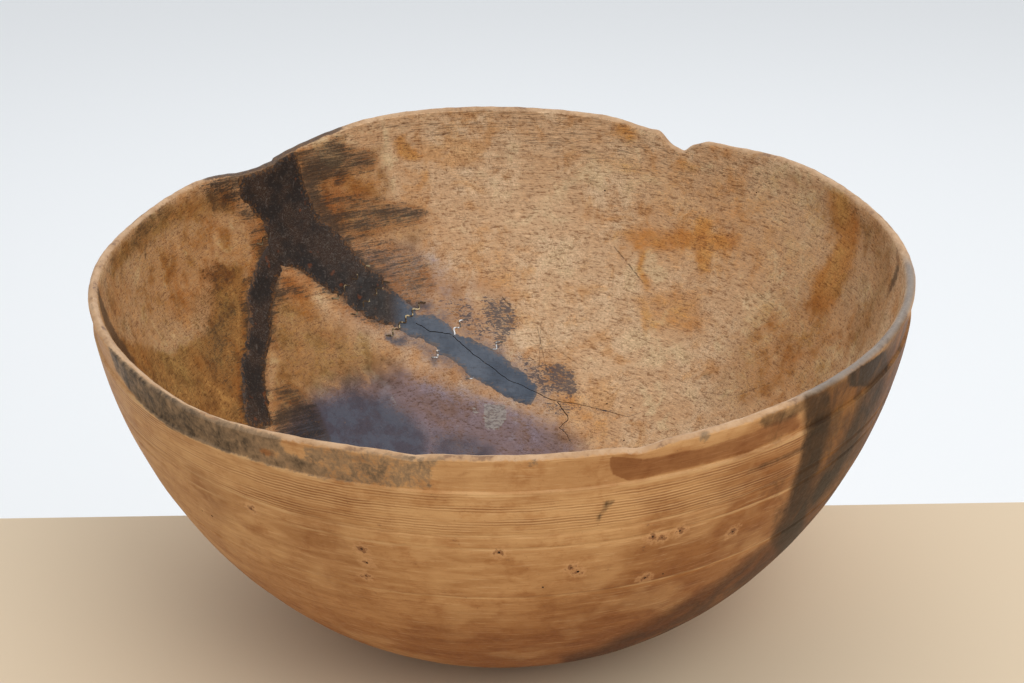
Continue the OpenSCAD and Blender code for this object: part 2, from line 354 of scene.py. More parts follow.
PITCH = Field("pitch", Side.INSIDE, (
    Stroke(((205, 186, 1), (228, 183, 3), (245, 180, 7), (262, 176, 8)), 12, 0.85),
    Stroke(((275, 172, 14), (290, 205, 16), (303, 235, 16), (332, 258, 13), (356, 282, 11)), 12),
    Stroke(((262, 245, 5), (257, 300, 5), (256, 340, 5), (252, 385, 6), (257, 425, 9)), 9, 0.9),
    Stroke(((246, 283, 2), (242, 300, 2), (246, 316, 2)), 7, 0.7),
    Stroke(((252, 238, 1), (256, 250, 4)), 7, 0.75),
    Stroke(((240, 364, 2),), 7, 0.75),
    Stroke(((272, 338, 2), (276, 347, 2)), 7, 0.7),
    Stroke(((304, 172, 6), (314, 198, 8), (334, 224, 7), (350, 240, 4)), 12, 0.95),
    Stroke(((366, 262, 2), (384, 270, 3), (400, 286, 2)), 9, 0.8),
), (
    Patch(((296, 160), (320, 150), (348, 146), (352, 160), (341, 174), (318, 188), (302, 190)), 18, 0.92),
    Patch(((336, 147), (368, 149), (380, 158), (375, 169), (352, 173), (338, 186), (326, 178)), 12, 0.76),
    Patch(((308, 190), (345, 192), (384, 199), (400, 204), (392, 232), (362, 236), (340, 240),
           (322, 228)), 20, 0.67),
    Patch(((384, 201), (412, 204), (428, 213), (420, 223), (396, 228), (378, 218)), 12, 0.7),
    Patch(((335, 232), (360, 240), (392, 243), (418, 252), (432, 268), (434, 290), (420, 306), (396, 300),
           (372, 278), (350, 256)), 26, 0.62),
    Patch(((206, 184), (236, 174), (246, 200), (262, 222), (268, 240), (256, 243), (244, 222),
           (226, 204)), 12, 0.6),
    Patch(((268, 282), (296, 274), (318, 290), (308, 300), (288, 298), (274, 312)), 14, 0.6),
    Patch(((274, 392), (288, 382), (304, 392), (318, 412), (330, 440), (290, 450), (272, 430)), 14, 0.84),
    Patch(((236, 176), (263, 223), (268, 250), (293, 268), (340, 297), (380, 323), (408, 304), (381, 275),
           (346, 241), (312, 203), (300, 165), (268, 164)), 40, 1.5),
    Patch(((262, 240), (246, 298), (246, 351), (240, 364), (243, 424), (272, 424), (264, 371), (272, 332),
           (276, 294), (284, 262)), 20, 1.3),
    Patch(((205, 184), (236, 168), (300, 150), (346, 136), (344, 146), (306, 164), (240, 184),
           (214, 192)), 12, 0.8),
))
IRON = Field("iron", Side.INSIDE, (
    Stroke(((404, 306, 4), (420, 306, 4), (434, 304, 3)), 8, 0.78),
    Stroke(((387, 337, 3), (396, 343, 3), (404, 342, 3)), 5, 0.9),
    Stroke(((433, 362, 3), (440, 356, 2)), 6, 0.8),
    Stroke(((467, 378, 2.5),), 6, 0.85),
    Stroke(((414, 345, 2),), 6, 0.7),
), (
    Patch(((284, 430), (318, 402), (350, 392), (388, 396), (410, 412), (430, 436), (430, 500), (380, 524),
           (310, 508), (276, 470)), 50, 1.0),
    Patch(((430, 424), (470, 430), (500, 440), (505, 490), (440, 520), (410, 490)), 40, 0.66),
    Patch(((420, 300), (452, 306), (480, 330), (504, 350), (530, 370), (548, 392), (536, 412), (500, 398),
           (470, 384), (440, 366), (400, 345), (386, 326)), 18, 0.5),
))
BLOT = Field("blot", Side.INSIDE, (
    Stroke(((560, 404, 2), (600, 410, 1), (634, 415, 0.6)), 4, 0.55),
    Stroke(((565, 402, 1), (570, 415, 1), (563, 430, 1), (571, 444, 1)), 4, 0.55),
), (
    Patch(((480, 298), (500, 296), (512, 304), (520, 322), (512, 336), (500, 338), (486, 326)), 14, 0.7),
    Patch(((494, 334), (508, 334), (504, 352), (494, 348)), 8, 0.66),
    Patch(((542, 364), (562, 362), (575, 372), (579, 390), (570, 398), (550, 388)), 10, 0.78),
    Patch(((516, 352), (546, 368), (566, 394), (544, 398), (524, 378)), 14, 0.58),
    Patch(((538, 399), (556, 402), (572, 410), (566, 418), (548, 412)), 8, 0.6),
    Patch(((436, 296), (470, 300), (496, 330), (478, 342), (452, 318)), 18, 0.46),
))
PLUM = Field("plum", Side.INSIDE, (
    Stroke(((470, 285, 6), (500, 300, 8)), 20, 0.35),
), (
    Patch(((290, 412), (312, 390), (348, 374), (390, 366), (428, 376), (462, 388), (510, 404), (548, 420),
           (580, 440), (588, 480), (560, 530), (470, 560), (350, 556), (276, 520), (262, 460)), 50, 0.95),
    Patch(((345, 240), (400, 236), (440, 246), (462, 280), (480, 310), (560, 390), (540, 420), (470, 400),
           (420, 366), (380, 340), (330, 316), (350, 296)), 44, 0.42),
))
# A darker golden brown over the hollow's left and right walls and round the pitch
DARK_GOLD = Field("tea", Side.INSIDE, (
    Stroke(((845, 185, 8), (870, 230, 14), (885, 280, 14), (860, 330, 16)), 40, 0.7),
), (
    Patch(((80, 290), (125, 230), (190, 190), (238, 180), (262, 215), (268, 262), (256, 300), (250, 440),
           (200, 440), (120, 390), (80, 330)), 50, 0.54),
    Patch(((214, 262), (246, 262), (262, 440), (200, 440), (110, 372), (96, 330), (170, 352),
           (206, 330)), 34, 1.15),
    Patch(((110, 250), (150, 210), (200, 190), (240, 190), (240, 215), (180, 228), (130, 262),
           (104, 300)), 26, 0.85),
    Patch(((262, 280), (300, 288), (340, 320), (400, 352), (390, 386), (320, 400), (270, 440),
           (262, 360)), 50, 0.75),
    Patch(((296, 158), (380, 146), (392, 200), (430, 215), (424, 250), (350, 246), (306, 200)), 40, 0.55),
    Patch(((730, 330), (790, 290), (850, 250), (900, 250), (880, 330), (820, 400), (740, 420),
           (700, 400)), 60, 0.34),
    Patch(((780, 170), (850, 190), (880, 240), (850, 250), (810, 210)), 30, 0.4),
))
WARM = Field("warm", Side.INSIDE, (
    Stroke(((170, 250, 10), (220, 235, 12), (250, 262, 12)), 30, 0.6),
    Stroke(((262, 214, 5), (268, 232, 6), (258, 256, 6)), 12, 0.95),
    Stroke(((292, 285, 5), (300, 298, 8), (308, 312, 5)), 16, 0.9),
    Stroke(((330, 180, 6), (370, 186, 7), (330, 205, 8), (345, 228, 8)), 18, 0.8),
    Stroke(((425, 172, 2), (424, 182, 2), (418, 187, 2)), 5, 0.8),
    Stroke(((500, 262, 4), (505, 278, 8), (492, 284, 6)), 20, 0.6),
    Stroke(((622, 128, 5), (630, 136, 5)), 9, 0.8),
    Stroke(((634, 243, 1.2), (644, 254, 1.8), (639, 268, 1.6), (648, 286, 2.4)), 4, 1.0),
    Stroke(((570, 400, 8), (600, 430, 10), (560, 440, 8)), 24, 0.6),
    Stroke(((606, 241, 0.6), (622, 235, 0.8), (650, 233, 0.6)), 3, 0.9),
), (
    Patch(((394, 138), (402, 134), (410, 144), (424, 156), (414, 162), (396, 158)), 8, 0.9),
    Patch(((694, 214), (712, 216), (712, 272), (698, 276), (694, 250)), 8, 0.85),
    Patch(((612, 232), (660, 226), (745, 232), (742, 252), (690, 250), (640, 252)), 14, 0.75),
    Patch(((628, 296), (700, 288), (706, 332), (650, 330)), 16, 0.55),
    Patch(((646, 288), (650, 310), (646, 338), (638, 310)), 8, 0.6),
    Patch(((826, 190), (848, 192), (862, 226), (852, 268), (832, 310), (810, 318), (812, 284),
           (838, 240)), 18, 1.0),
    Patch(((760, 300), (836, 296), (852, 340), (806, 404), (730, 408), (736, 350)), 50, 0.5),
    Patch(((676, 158), (704, 164), (700, 176), (680, 172)), 10, 0.6),
    Patch(((620, 170), (740, 160), (850, 200), (880, 280), (780, 300), (660, 260)), 80, 0.36),
    Patch(((130, 250), (200, 214), (250, 220), (252, 300), (200, 330), (146, 320)), 50, 0.45),
    Patch(((575, 150), (625, 156), (700, 176), (690, 186), (610, 172)), 16, 0.4),
))
GRIME = Field("grime", Side.INSIDE, (
    Stroke(((98, 290, 5), (104, 314, 8), (115, 338, 7), (134, 362, 3)), 5, 0.95),
    Stroke(((118, 250, 1), (108, 270, 2), (104, 285, 2)), 6, 0.6),
    Stroke(((126, 236, 1), (145, 219, 3), (160, 209, 2)), 10, 0.6),
    Stroke(((196, 190, 2), (222, 188, 5), (240, 198, 4)), 12, 0.7),
    Stroke(((212, 211, 1.6), (216, 214, 1.6)), 3, 0.95),
    Stroke(((146, 243, 0.8), (154, 244, 0.8)), 3, 0.8),
    Stroke(((146, 248, 0.8), (145, 256, 0.8)), 3, 0.8),
    Stroke(((232, 314, 2.5), (244, 315, 2)), 6, 0.8),
    Stroke(((125, 325, 2), (130, 340, 2)), 7, 0.5),
    Stroke(((838, 188, 1.5), (852, 206, 3), (862, 222, 3)), 12, 0.55),
    Stroke(((897, 250, 2), (898, 268, 4), (890, 290, 3)), 6, 0.95),
    Stroke(((774, 340, 1.5), (782, 346, 1.5)), 5, 0.8),
    Stroke(((776, 352, 1), (778, 362, 1)), 5, 0.6),
    Stroke(((704, 375, 1.6), (712, 377, 1)), 5, 0.8),
    Stroke(((690, 168, 1.6), (700, 172, 1)), 5, 0.6),
    Stroke(((405, 143, 3), (408, 152, 3)), 8, 0.45),
    Stroke(((683, 143, 2), (696, 147, 3)), 8, 0.6),
    Stroke(((560, 113, 1.5), (600, 118, 1.5), (650, 128, 1.5)), 5, 0.55),
), (
    Patch(((200, 318), (226, 330), (232, 350), (214, 360), (204, 340)), 20, 0.55),
    Patch(((204, 256), (240, 262), (240, 330), (236, 400), (204, 372), (190, 310)), 24, 0.42),
    Patch(((200, 186), (236, 180), (240, 200), (222, 216), (204, 204)), 16, 0.6),
    Patch(((130, 232), (160, 208), (176, 210), (150, 236), (126, 262)), 14, 0.5),
))
PALE = Field("pale", Side.INSIDE, (
    Stroke(((430, 150, 8), (470, 180, 14), (540, 225, 24), (560, 260, 26)), 60, 0.75),
    Stroke(((500, 140, 8), (600, 150, 10), (680, 190, 12)), 40, 0.6),
    Stroke(((590, 290, 20), (620, 340, 26), (600, 390, 18)), 60, 0.7),
    Stroke(((760, 205, 12), (800, 222, 14), (828, 240, 6)), 34, 0.8),
    Stroke(((740, 275, 12), (700, 345, 12)), 50, 0.4),
    Stroke(((660, 380, 10), (700, 395, 8)), 40, 0.4),
))
VEINS = Field("veins", Side.INSIDE, (
    Stroke(((300, 150, 4), (400, 130, 14), (520, 126, 18), (640, 148, 18), (760, 178, 10)), 30, 0.9),
    Stroke(((420, 180, 10), (560, 172, 14), (640, 190, 10)), 30, 0.5),
))
CHALK = Field("chalk", Side.INSIDE, (
    Stroke(((474, 406, 1), (475, 411, 2)), 4, 0.85),
    Stroke(((393, 397, 1.5), (394, 404, 1.5)), 5, 0.6),
), (
    Patch(((484, 403), (506, 406), (506, 420), (498, 430), (485, 428)), 6, 0.95),
))
SOOT = Field("soot", Side.OUTSIDE, (
    Stroke(((706, 437, 2.5),), 5, 0.9),
    Stroke(((534, 463, 2),), 4, 0.7),
    Stroke(((93, 299, 1), (94, 311, 1)), 3, 0.6),
), (
    Patch(((108, 346), (129, 366), (148, 382), (168, 394), (207, 417), (226, 424), (232, 454), (207, 445),
           (168, 427), (145, 408), (128, 388), (116, 370)), 5, 1.0),
    Patch(((216, 416), (250, 428), (280, 436), (284, 450), (300, 458), (320, 462), (330, 480), (266, 465),
           (220, 450)), 9, 0.74),
    Patch(((300, 446), (343, 448), (400, 454), (446, 456), (436, 466), (432, 490), (400, 488), (363, 485),
           (324, 480), (306, 472)), 7, 0.5),
))
SCORCH = Field("scorch", Side.OUTSIDE, (
    Stroke(((607, 503, 1.4), (603, 511, 1.2), (596, 524, 0.8)), 3, 1.0),
    Stroke(((612, 502, 1.4), (604, 512, 1.0)), 3, 0.9),
    Stroke(((538, 588, 2), (544, 590, 2)), 6, 0.4),
), (
    Patch(((803, 396), (830, 388), (833, 420), (826, 452), (814, 484), (808, 512), (800, 545), (776, 566),
           (776, 540), (785, 512), (791, 484), (800, 462), (803, 438)), 14, 0.95),
    Patch(((866, 364), (888, 350), (886, 388), (870, 420), (854, 452), (834, 484), (812, 510), (806, 498),
           (822, 470), (842, 440), (856, 410), (866, 388)), 16, 0.9),
    Patch(((846, 376), (866, 364), (886, 350), (888, 372), (870, 386), (850, 386)), 6, 1.3),
    Patch(((775, 505), (790, 500), (806, 520), (800, 545), (776, 560), (768, 540)), 16, 0.7),
    Patch(((745, 470), (775, 458), (803, 445), (803, 452), (775, 464), (748, 475)), 6, 0.6),
    Patch(((756, 424), (764, 415), (784, 408), (806, 398), (806, 412), (786, 423), (765, 428)), 9, 0.75),
    Patch(((770, 424), (800, 412), (800, 440), (780, 450), (764, 444)), 20, 0.34),
    Patch(((752, 482), (776, 474), (792, 470), (786, 500), (770, 512), (752, 500)), 20, 0.4),
))
# A burn over the outside's right side, darkened further as painted shade over that whole side and along the
# lower right, where the wall turns under
SINGE_AND_SHADE = Field("singe", Side.OUTSIDE, (), (
    Patch(((803, 396), (803, 440), (798, 466), (790, 490), (784, 512), (770, 535), (770, 565), (720, 610),
           (690, 720), (960, 720), (960, 290), (905, 318), (880, 352), (850, 374)), 18, 0.95),
    Patch(((784, 505), (768, 540), (746, 558), (718, 580), (680, 602), (640, 624), (596, 646), (560, 655),
           (560, 740), (960, 740), (960, 480)), 24, 0.9),
))
RUSSET = Field("russet", Side.OUTSIDE, (
    Stroke(((262, 453, 2), (272, 455, 2)), 5, 1.0),
    Stroke(((285, 446, 1.5), (296, 450, 1.5)), 5, 0.5),
    Stroke(((455, 478, 2), (480, 470, 1.5), (500, 466, 1)), 4, 0.6),
), (
    Patch(((609, 456), (642, 459), (645, 478), (628, 481), (612, 474)), 5, 1.0),
    Patch(((640, 459), (700, 448), (752, 432), (800, 410), (800, 428), (752, 452), (700, 466),
           (644, 479)), 6, 0.7),
))
# Darker brown patches on the outside, the largest over its lower right and bottom
BROWN_PATCHES = Field("toast", Side.OUTSIDE, (), (
    Patch(((650, 545), (700, 500), (790, 440), (800, 500), (770, 560), (690, 610), (600, 650), (500, 660),
           (420, 640), (540, 622)), 90, 1.0),
    Patch(((190, 466), (214, 480), (232, 520), (214, 520), (196, 492)), 24, 0.7),
    Patch(((300, 500), (350, 530), (380, 575), (330, 580), (290, 540)), 50, 0.5),
    Patch(((640, 500), (700, 490), (730, 505), (690, 530), (650, 524)), 20, 0.6),
    Patch(((700, 470), (760, 450), (800, 436), (800, 480), (780, 520), (720, 520)), 40, 1.0),
    Patch(((440, 470), (560, 462), (700, 446), (800, 410), (800, 440), (700, 478), (560, 492),
           (440, 492)), 30, 0.35),
))
# Painted highlights on the outside: its upper left side, bands across the front below the ledge, and a thin
# line under the collar on the right
PAINTED_HIGHLIGHT = Field("glow", Side.OUTSIDE, (
    Stroke(((110, 345, 8), (135, 400, 12), (180, 460, 8)), 30, 0.55),
    Stroke(((445, 480, 8), (520, 476, 9), (600, 470, 6)), 10, 0.7),
    Stroke(((430, 510, 14), (520, 512, 16), (620, 503, 12)), 40, 0.6),
    Stroke(((650, 448, 2), (700, 441, 2), (745, 429, 1.5)), 5, 0.9),
))
FIELDS = (PITCH, IRON, BLOT, PLUM, DARK_GOLD, WARM, GRIME, PALE, VEINS, CHALK,
          SOOT, SCORCH, SINGE_AND_SHADE, RUSSET, BROWN_PATCHES, PAINTED_HIGHLIGHT)


@dataclass(frozen=True)
class Scratch:
    """A fine cut: the pixels of its two ends, and its half width in millimetres."""

    start: Pixel
    end: Pixel
    half: float = 0.35
    strength: float = 0.6


SCRATCHES = (
    Scratch((611, 243), (646, 287), 0.4, 0.8), Scratch((655, 212), (690, 240), 0.3, 0.5),
    Scratch((750, 285), (778, 312), 0.35, 0.6), Scratch((536, 322), (548, 378), 0.3, 0.6),
    Scratch((541, 316), (538, 384), 0.3, 0.6), Scratch((520, 350), (548, 372), 0.3, 0.6),
    Scratch((546, 342), (592, 374), 0.3, 0.6), Scratch((560, 362), (530, 340), 0.3, 0.5),
    Scratch((700, 392), (735, 396), 0.4, 0.5), Scratch((735, 396), (775, 381), 0.4, 0.5),
    Scratch((605, 240), (625, 234), 0.35, 0.7), Scratch((500, 295), (515, 312), 0.5, 0.8),
)


@dataclass(frozen=True)
class Pit:
    """A worm hole or a pin knot: its pixel, radius in millimetres and the face it is in."""

    x: float
    y: float
    r: float
    side: Side
    chipped: bool = False


WORM_HOLES: Track = (
    (605, 190.6, 0.75), (756.7, 192.4, 0.6), (607, 403.7, 0.7), (630.7, 407.7, 0.65), (624, 440.3, 0.7),
)
KNOTS = (
    (361.5, 549, 1.0, True), (367, 563, 0.8, True), (366, 576, 0.6, True), (499, 553, 0.9, True),
    (571, 568, 0.6, True), (578, 572, 1.0, True), (543, 587, 0.8, False), (653, 537, 0.9, True),
    (662, 538, 0.6, True), (680, 531, 0.8, True), (733, 532, 0.9, True), (645, 578, 0.8, True),
    (663, 574, 0.7, False), (212, 516, 0.9, False), (202, 511, 0.6, False), (251, 509, 0.6, True),
)
PITS = (
    *(Pit(x, y, r, Side.INSIDE) for x, y, r in WORM_HOLES),
    *(Pit(x, y, r, Side.OUTSIDE, chipped) for x, y, r, chipped in KNOTS),
)


# The strips' edges, as photographed pixels: the main one from the rim down its left side and up
# its right, the branch one from its top down its left side and up its right
MAIN_EDGE = (
    (236, 176), (241.5, 198), (251.4, 209.6), (263, 222.8), (268, 236), (268, 250), (279.6, 268),
    (292.9, 268), (306, 274), (316, 282.5), (329.4, 290.8), (340, 297), (352, 308), (366, 317),
    (380, 323.3), (394, 326), (408, 335), (412.3, 337.4), (422.1, 340.2), (437.5, 348.6),
    (438.9, 357.0), (445.9, 356.3), (453, 361.2), (461.4, 365.4), (464.2, 369.6), (469.8, 376.6),
    (478.2, 380.1), (489.4, 386.5), (502.1, 394.9), (514.7, 400.5), (525.9, 404.7), (531.5, 405),
    (536, 396.3), (536, 387), (531.5, 380.8), (520.3, 371), (509.1, 361.2), (499.3, 354.2),
    (492, 350), (478.2, 343), (469.8, 337), (457, 335), (450, 326), (438.9, 318.5),
    (419.3, 314), (408, 304), (397.3, 295.8), (387.4, 285.8), (380.8, 275), (365.8, 264.3),
    (359.2, 257.6), (346, 241), (332.7, 228), (319.4, 217.8), (312, 203), (306, 189.7), (302.8, 174.7),
    (297, 160),
)
BRANCH_EDGE = (
    (268, 244), (257.9, 262), (251, 280), (246.4, 297.8), (249.4, 313), (246.5, 332.2),
    (246.4, 351.3), (240, 362.8), (243, 385.8), (243.6, 404.9), (244.5, 420.2), (258, 428),
    (272, 424), (268.4, 405.7), (265.6, 390.3), (263.7, 370.5), (268.4, 351.3), (272.2, 332.2),
    (271.3, 309.2), (275.1, 293.9), (277, 280), (282, 269), (276, 258),
)
# Where a strip is worn down to the fasteners, and where the two strips join: a pixel and a reach in
# millimetres
MAIN_BARED: Track = (
    (346, 288, 3), (356, 278, 3), (364, 301, 4), (378, 291, 4), (395, 332, 7), (405, 320, 7), (420, 305, 7),
)
MAIN_JOINED: Track = ((268, 240, 7), (270, 252, 7), (280, 268, 5))
BRANCH_BARED: Track = ((257, 248, 3),)
BRANCH_JOINED: Track = ((274, 252, 7), (268, 246, 7), (280, 266, 5))


# Shader trees


class Wire:
    """A socket of a shader tree, or a number, with Python's operators as its Math nodes."""

    def __init__(self, bench: "Bench", value: Any, vector: bool = False) -> None:
        """Wraps a socket, and says whether it carries a vector."""
        self.bench, self.value, self.vector = bench, value, vector

    def _with(self, operation: str, *others: Any, flip: bool = False) -> "Wire":
        """One Math or Vector Math node over this value and others."""
        values = [self, *others][::-1] if flip else [self, *others]
        vector = any(isinstance(v, Wire) and v.vector for v in values)
        kind = "ShaderNodeVectorMath" if vector else "ShaderNodeMath"
        if vector:
            values = [(v, v, v) if isinstance(v, (int, float)) else v for v in values]
        return self.bench.node(kind, {"operation": operation}, dict(enumerate(values)), vector=vector)

    def __add__(self, other: Any) -> "Wire":
        """This plus the other."""
        return self._with("ADD", other)

    __radd__ = __add__

    def __sub__(self, other: Any) -> "Wire":
        """This minus the other."""
        return self._with("SUBTRACT", other)

    def __rsub__(self, other: Any) -> "Wire":
        """The other minus this."""
        return self._with("SUBTRACT", other, flip=True)

    def __mul__(self, other: Any) -> "Wire":
        """This times the other."""
        return self._with("MULTIPLY", other)

    __rmul__ = __mul__

    def __abs__(self) -> "Wire":
        """This without its sign."""
        return self._with("ABSOLUTE")

    def sin(self) -> "Wire":
        """Its sine."""
        return self._with("SINE")

    def least(self, other: Any) -> "Wire":
        """The lesser of this and the other."""
        return self._with("MINIMUM", other)

    def measure(self, operation: str, *others: Any) -> "Wire":
        """A number that a Vector Math node reads off this vector and others."""
        values = dict(enumerate([self, *others]))
        return self.bench.node("ShaderNodeVectorMath", {"operation": operation}, values, "Value")

    def dot(self, way: np.ndarray) -> "Wire":
        """Its dot product with a fixed way."""
        return self.measure("DOT_PRODUCT", tuple(way))

    def step(self, low: float, high: float) -> "Wire":
        """A soft step that is 0 at low and 1 at high."""
        return self.bench.node(
            "ShaderNodeMapRange", {"interpolation_type": "SMOOTHSTEP"},
            {"Value": self, "From Min": low, "From Max": high, "To Min": 0.0, "To Max": 1.0}, "Result",
        )

    def swing(self, by: float = 1.0) -> "Wire":
        """A noise's swing to either side of its middle, times a number."""
        return (self - 0.5) * by


class Bench:
    """One material's tree, and the calls that lay out its nodes."""

    def __init__(self, name: str) -> None:
        """Starts an empty material with a Principled shader.

        Args:
            name: The material's name.
        """
        self.material = bpy.data.materials.new(name)
        self.material.use_nodes = True
        self.tree = self.material.node_tree
        self.tree.nodes.clear()
        self.shader = self.tree.nodes.new("ShaderNodeBsdfPrincipled")
        out = self.tree.nodes.new("ShaderNodeOutputMaterial")
        self.tree.links.new(self.shader.outputs[0], out.inputs["Surface"])

    def node(
        self, kind: str, settings: dict | None = None, inputs: dict | None = None,
        output: str | int = 0, vector: bool = False,
    ) -> Wire:
        """Adds one node.

        Args:
            kind: Its type.
            settings: Its properties, with a ramp's stops under "stops".
            inputs: Values or wires by socket name or number.
            output: The socket to give back.
            vector: Whether that socket carries a vector.

        Returns:
            The wire from that socket.
        """
        made = self.tree.nodes.new(kind)
        for name, value in (settings or {}).items():
            if name == "stops":
                self._stops(made.color_ramp, value)
            else:
                setattr(made, name, value)
        for name, value in (inputs or {}).items():
            self.feed(made.inputs[name], value)
        return Wire(self, made.outputs[output], vector)

    @staticmethod
    def _stops(ramp: bpy.types.ColorRamp, stops: tuple) -> None:
        """Sets a ramp's stops, each a place and a colour."""
        while len(ramp.elements) < len(stops):
            ramp.elements.new(0.5)
        for element, (at, colour) in zip(ramp.elements, stops):
            element.position = at
            element.color = (*colour, 1)

    def feed(self, socket: bpy.types.NodeSocket, value: Any) -> None:
        """Links a wire to a socket, or sets the socket to a number or colour."""
        if isinstance(value, Wire):
            self.tree.links.new(value.value, socket)
        elif socket.type == "RGBA":
            socket.default_value = (*value, 1)
        else:
            socket.default_value = value

    def place(self) -> Wire:
        """The place on the object, in metres."""
        return self.node("ShaderNodeTexCoord", {}, {}, "Object", vector=True)

    def split(self, wire: Wire) -> tuple[Wire, Wire, Wire]:
        """A vector's three numbers."""
        parts = self.node("ShaderNodeSeparateXYZ", {}, {0: wire}).value.node
        return tuple(Wire(self, parts.outputs[i]) for i in range(3))

    def cover(self, name: str) -> Wire:
        """One of the mesh's attributes."""
        return self.node("ShaderNodeAttribute", {"attribute_name": name}, {}, "Fac")

    def noise(
        self, where: Wire, scale: float, detail: float = 2, rough: float = 0.5, bend: float = 0,
    ) -> Wire:
        """A noise around 0.5 with features of about 1 over scale metres."""
        inputs = {"Vector": where, "Scale": scale, "Detail": detail, "Roughness": rough, "Distortion": bend}
        return self.node("ShaderNodeTexNoise", {}, inputs, "Fac")

    def mix(self, share: Wire | float, first: Any, second: Any, blend: str = "MIX") -> Wire:
        """The first colour with a share of the second laid over it."""
        settings = {"data_type": "RGBA", "blend_type": blend, "clamp_factor": True}
        return self.node("ShaderNodeMix", settings, {0: share, 6: first, 7: second}, 2)

    def tint(self, share: Wire | float, colour: Any, by: Any) -> Wire:
        """The colour with a share of it multiplied by a tint."""
        return self.mix(share, colour, by, "MULTIPLY")

    def ramp(self, value: Wire, *stops: tuple) -> Wire:
        """A colour read off stops by a value."""
        return self.node("ShaderNodeValToRGB", {"stops": stops}, {"Fac": value})

    def finish(
        self, colour: Any, rough: Any, relief: Wire | None, gloss: float, metal: float = 0.0,
    ) -> None:
        """Feeds the shader its colour, roughness and relief in metres."""
        self.feed(self.shader.inputs["Base Color"], colour)
        self.feed(self.shader.inputs["Roughness"], rough)
        self.shader.inputs["Specular IOR Level"].default_value = gloss
        self.shader.inputs["Metallic"].default_value = metal
        if relief is not None:
            bump = self.node("ShaderNodeBump", {}, {"Strength": 1.0, "Distance": 1.0, "Height": relief})
            self.feed(self.shader.inputs["Normal"], bump)


@dataclass(frozen=True)
class OldBirch:
    """Tones and marks that both faces of the worn and oiled birch share."""

    tan: Colour = tone(196, 156, 116)
    straw: Colour = tone(216, 187, 152)
    umber: Colour = tone(58, 42, 30)
    rubbed: tuple[tuple[float, Colour], ...] = (
        (0.34, tone(128, 98, 76)), (0.42, tone(172, 136, 102)), (0.6, tone(196, 162, 128)),
    )
    ashes: tuple[Colour, Colour] = (tone(100, 88, 80), tone(152, 142, 132))
    split_dark: Colour = tone(40, 32, 28)
    run_pitch: tuple[Colour, Colour] = (tone(48, 40, 44), tone(84, 64, 50))
    gloss: float = 0.24

    @staticmethod
    def _swung(where: Wire, angle: float) -> Wire:
        """Places turned about the bowl's axis, for marks that cross the grain."""
        return where.bench.node(
            "ShaderNodeVectorRotate", {"rotation_type": "Z_AXIS"},
            {"Vector": where, "Angle": math.radians(angle)}, vector=True,
        )

    def _lip(self, b: Bench, colour: Wire, blotch: Wire, fine: Wire) -> Wire:
        """The lip's rubbed edge, its grey grime, and the pitch that ran over it at the crack."""
        worn = (fine.swing(1.6) + b.cover("lip") * 1.1).step(0.2, 0.9)
        colour = b.mix(worn * 0.85, colour, b.ramp(blotch, *self.rubbed))
        colour = b.mix(b.cover("ash") * fine.step(0.1, 0.4) * 0.95, colour, b.mix(blotch, *self.ashes))
        colour = b.mix(b.cover("split") * 0.8, colour, self.split_dark)
        pitch = (b.cover("rim_pitch") + fine.swing(1.2) + blotch.swing(1.4)).step(0.3, 0.7)
        return b.mix(pitch * 0.85, colour, b.mix(fine.step(0.4, 0.6), *self.run_pitch))

    @staticmethod
    def _spread_cover(b: Bench, name: str, spread: Wire) -> Wire:
        """A cover, its edge spread unevenly where there is some of it."""
        cover = b.cover(name)
        return cover + spread * cover.step(0.0, 0.3)


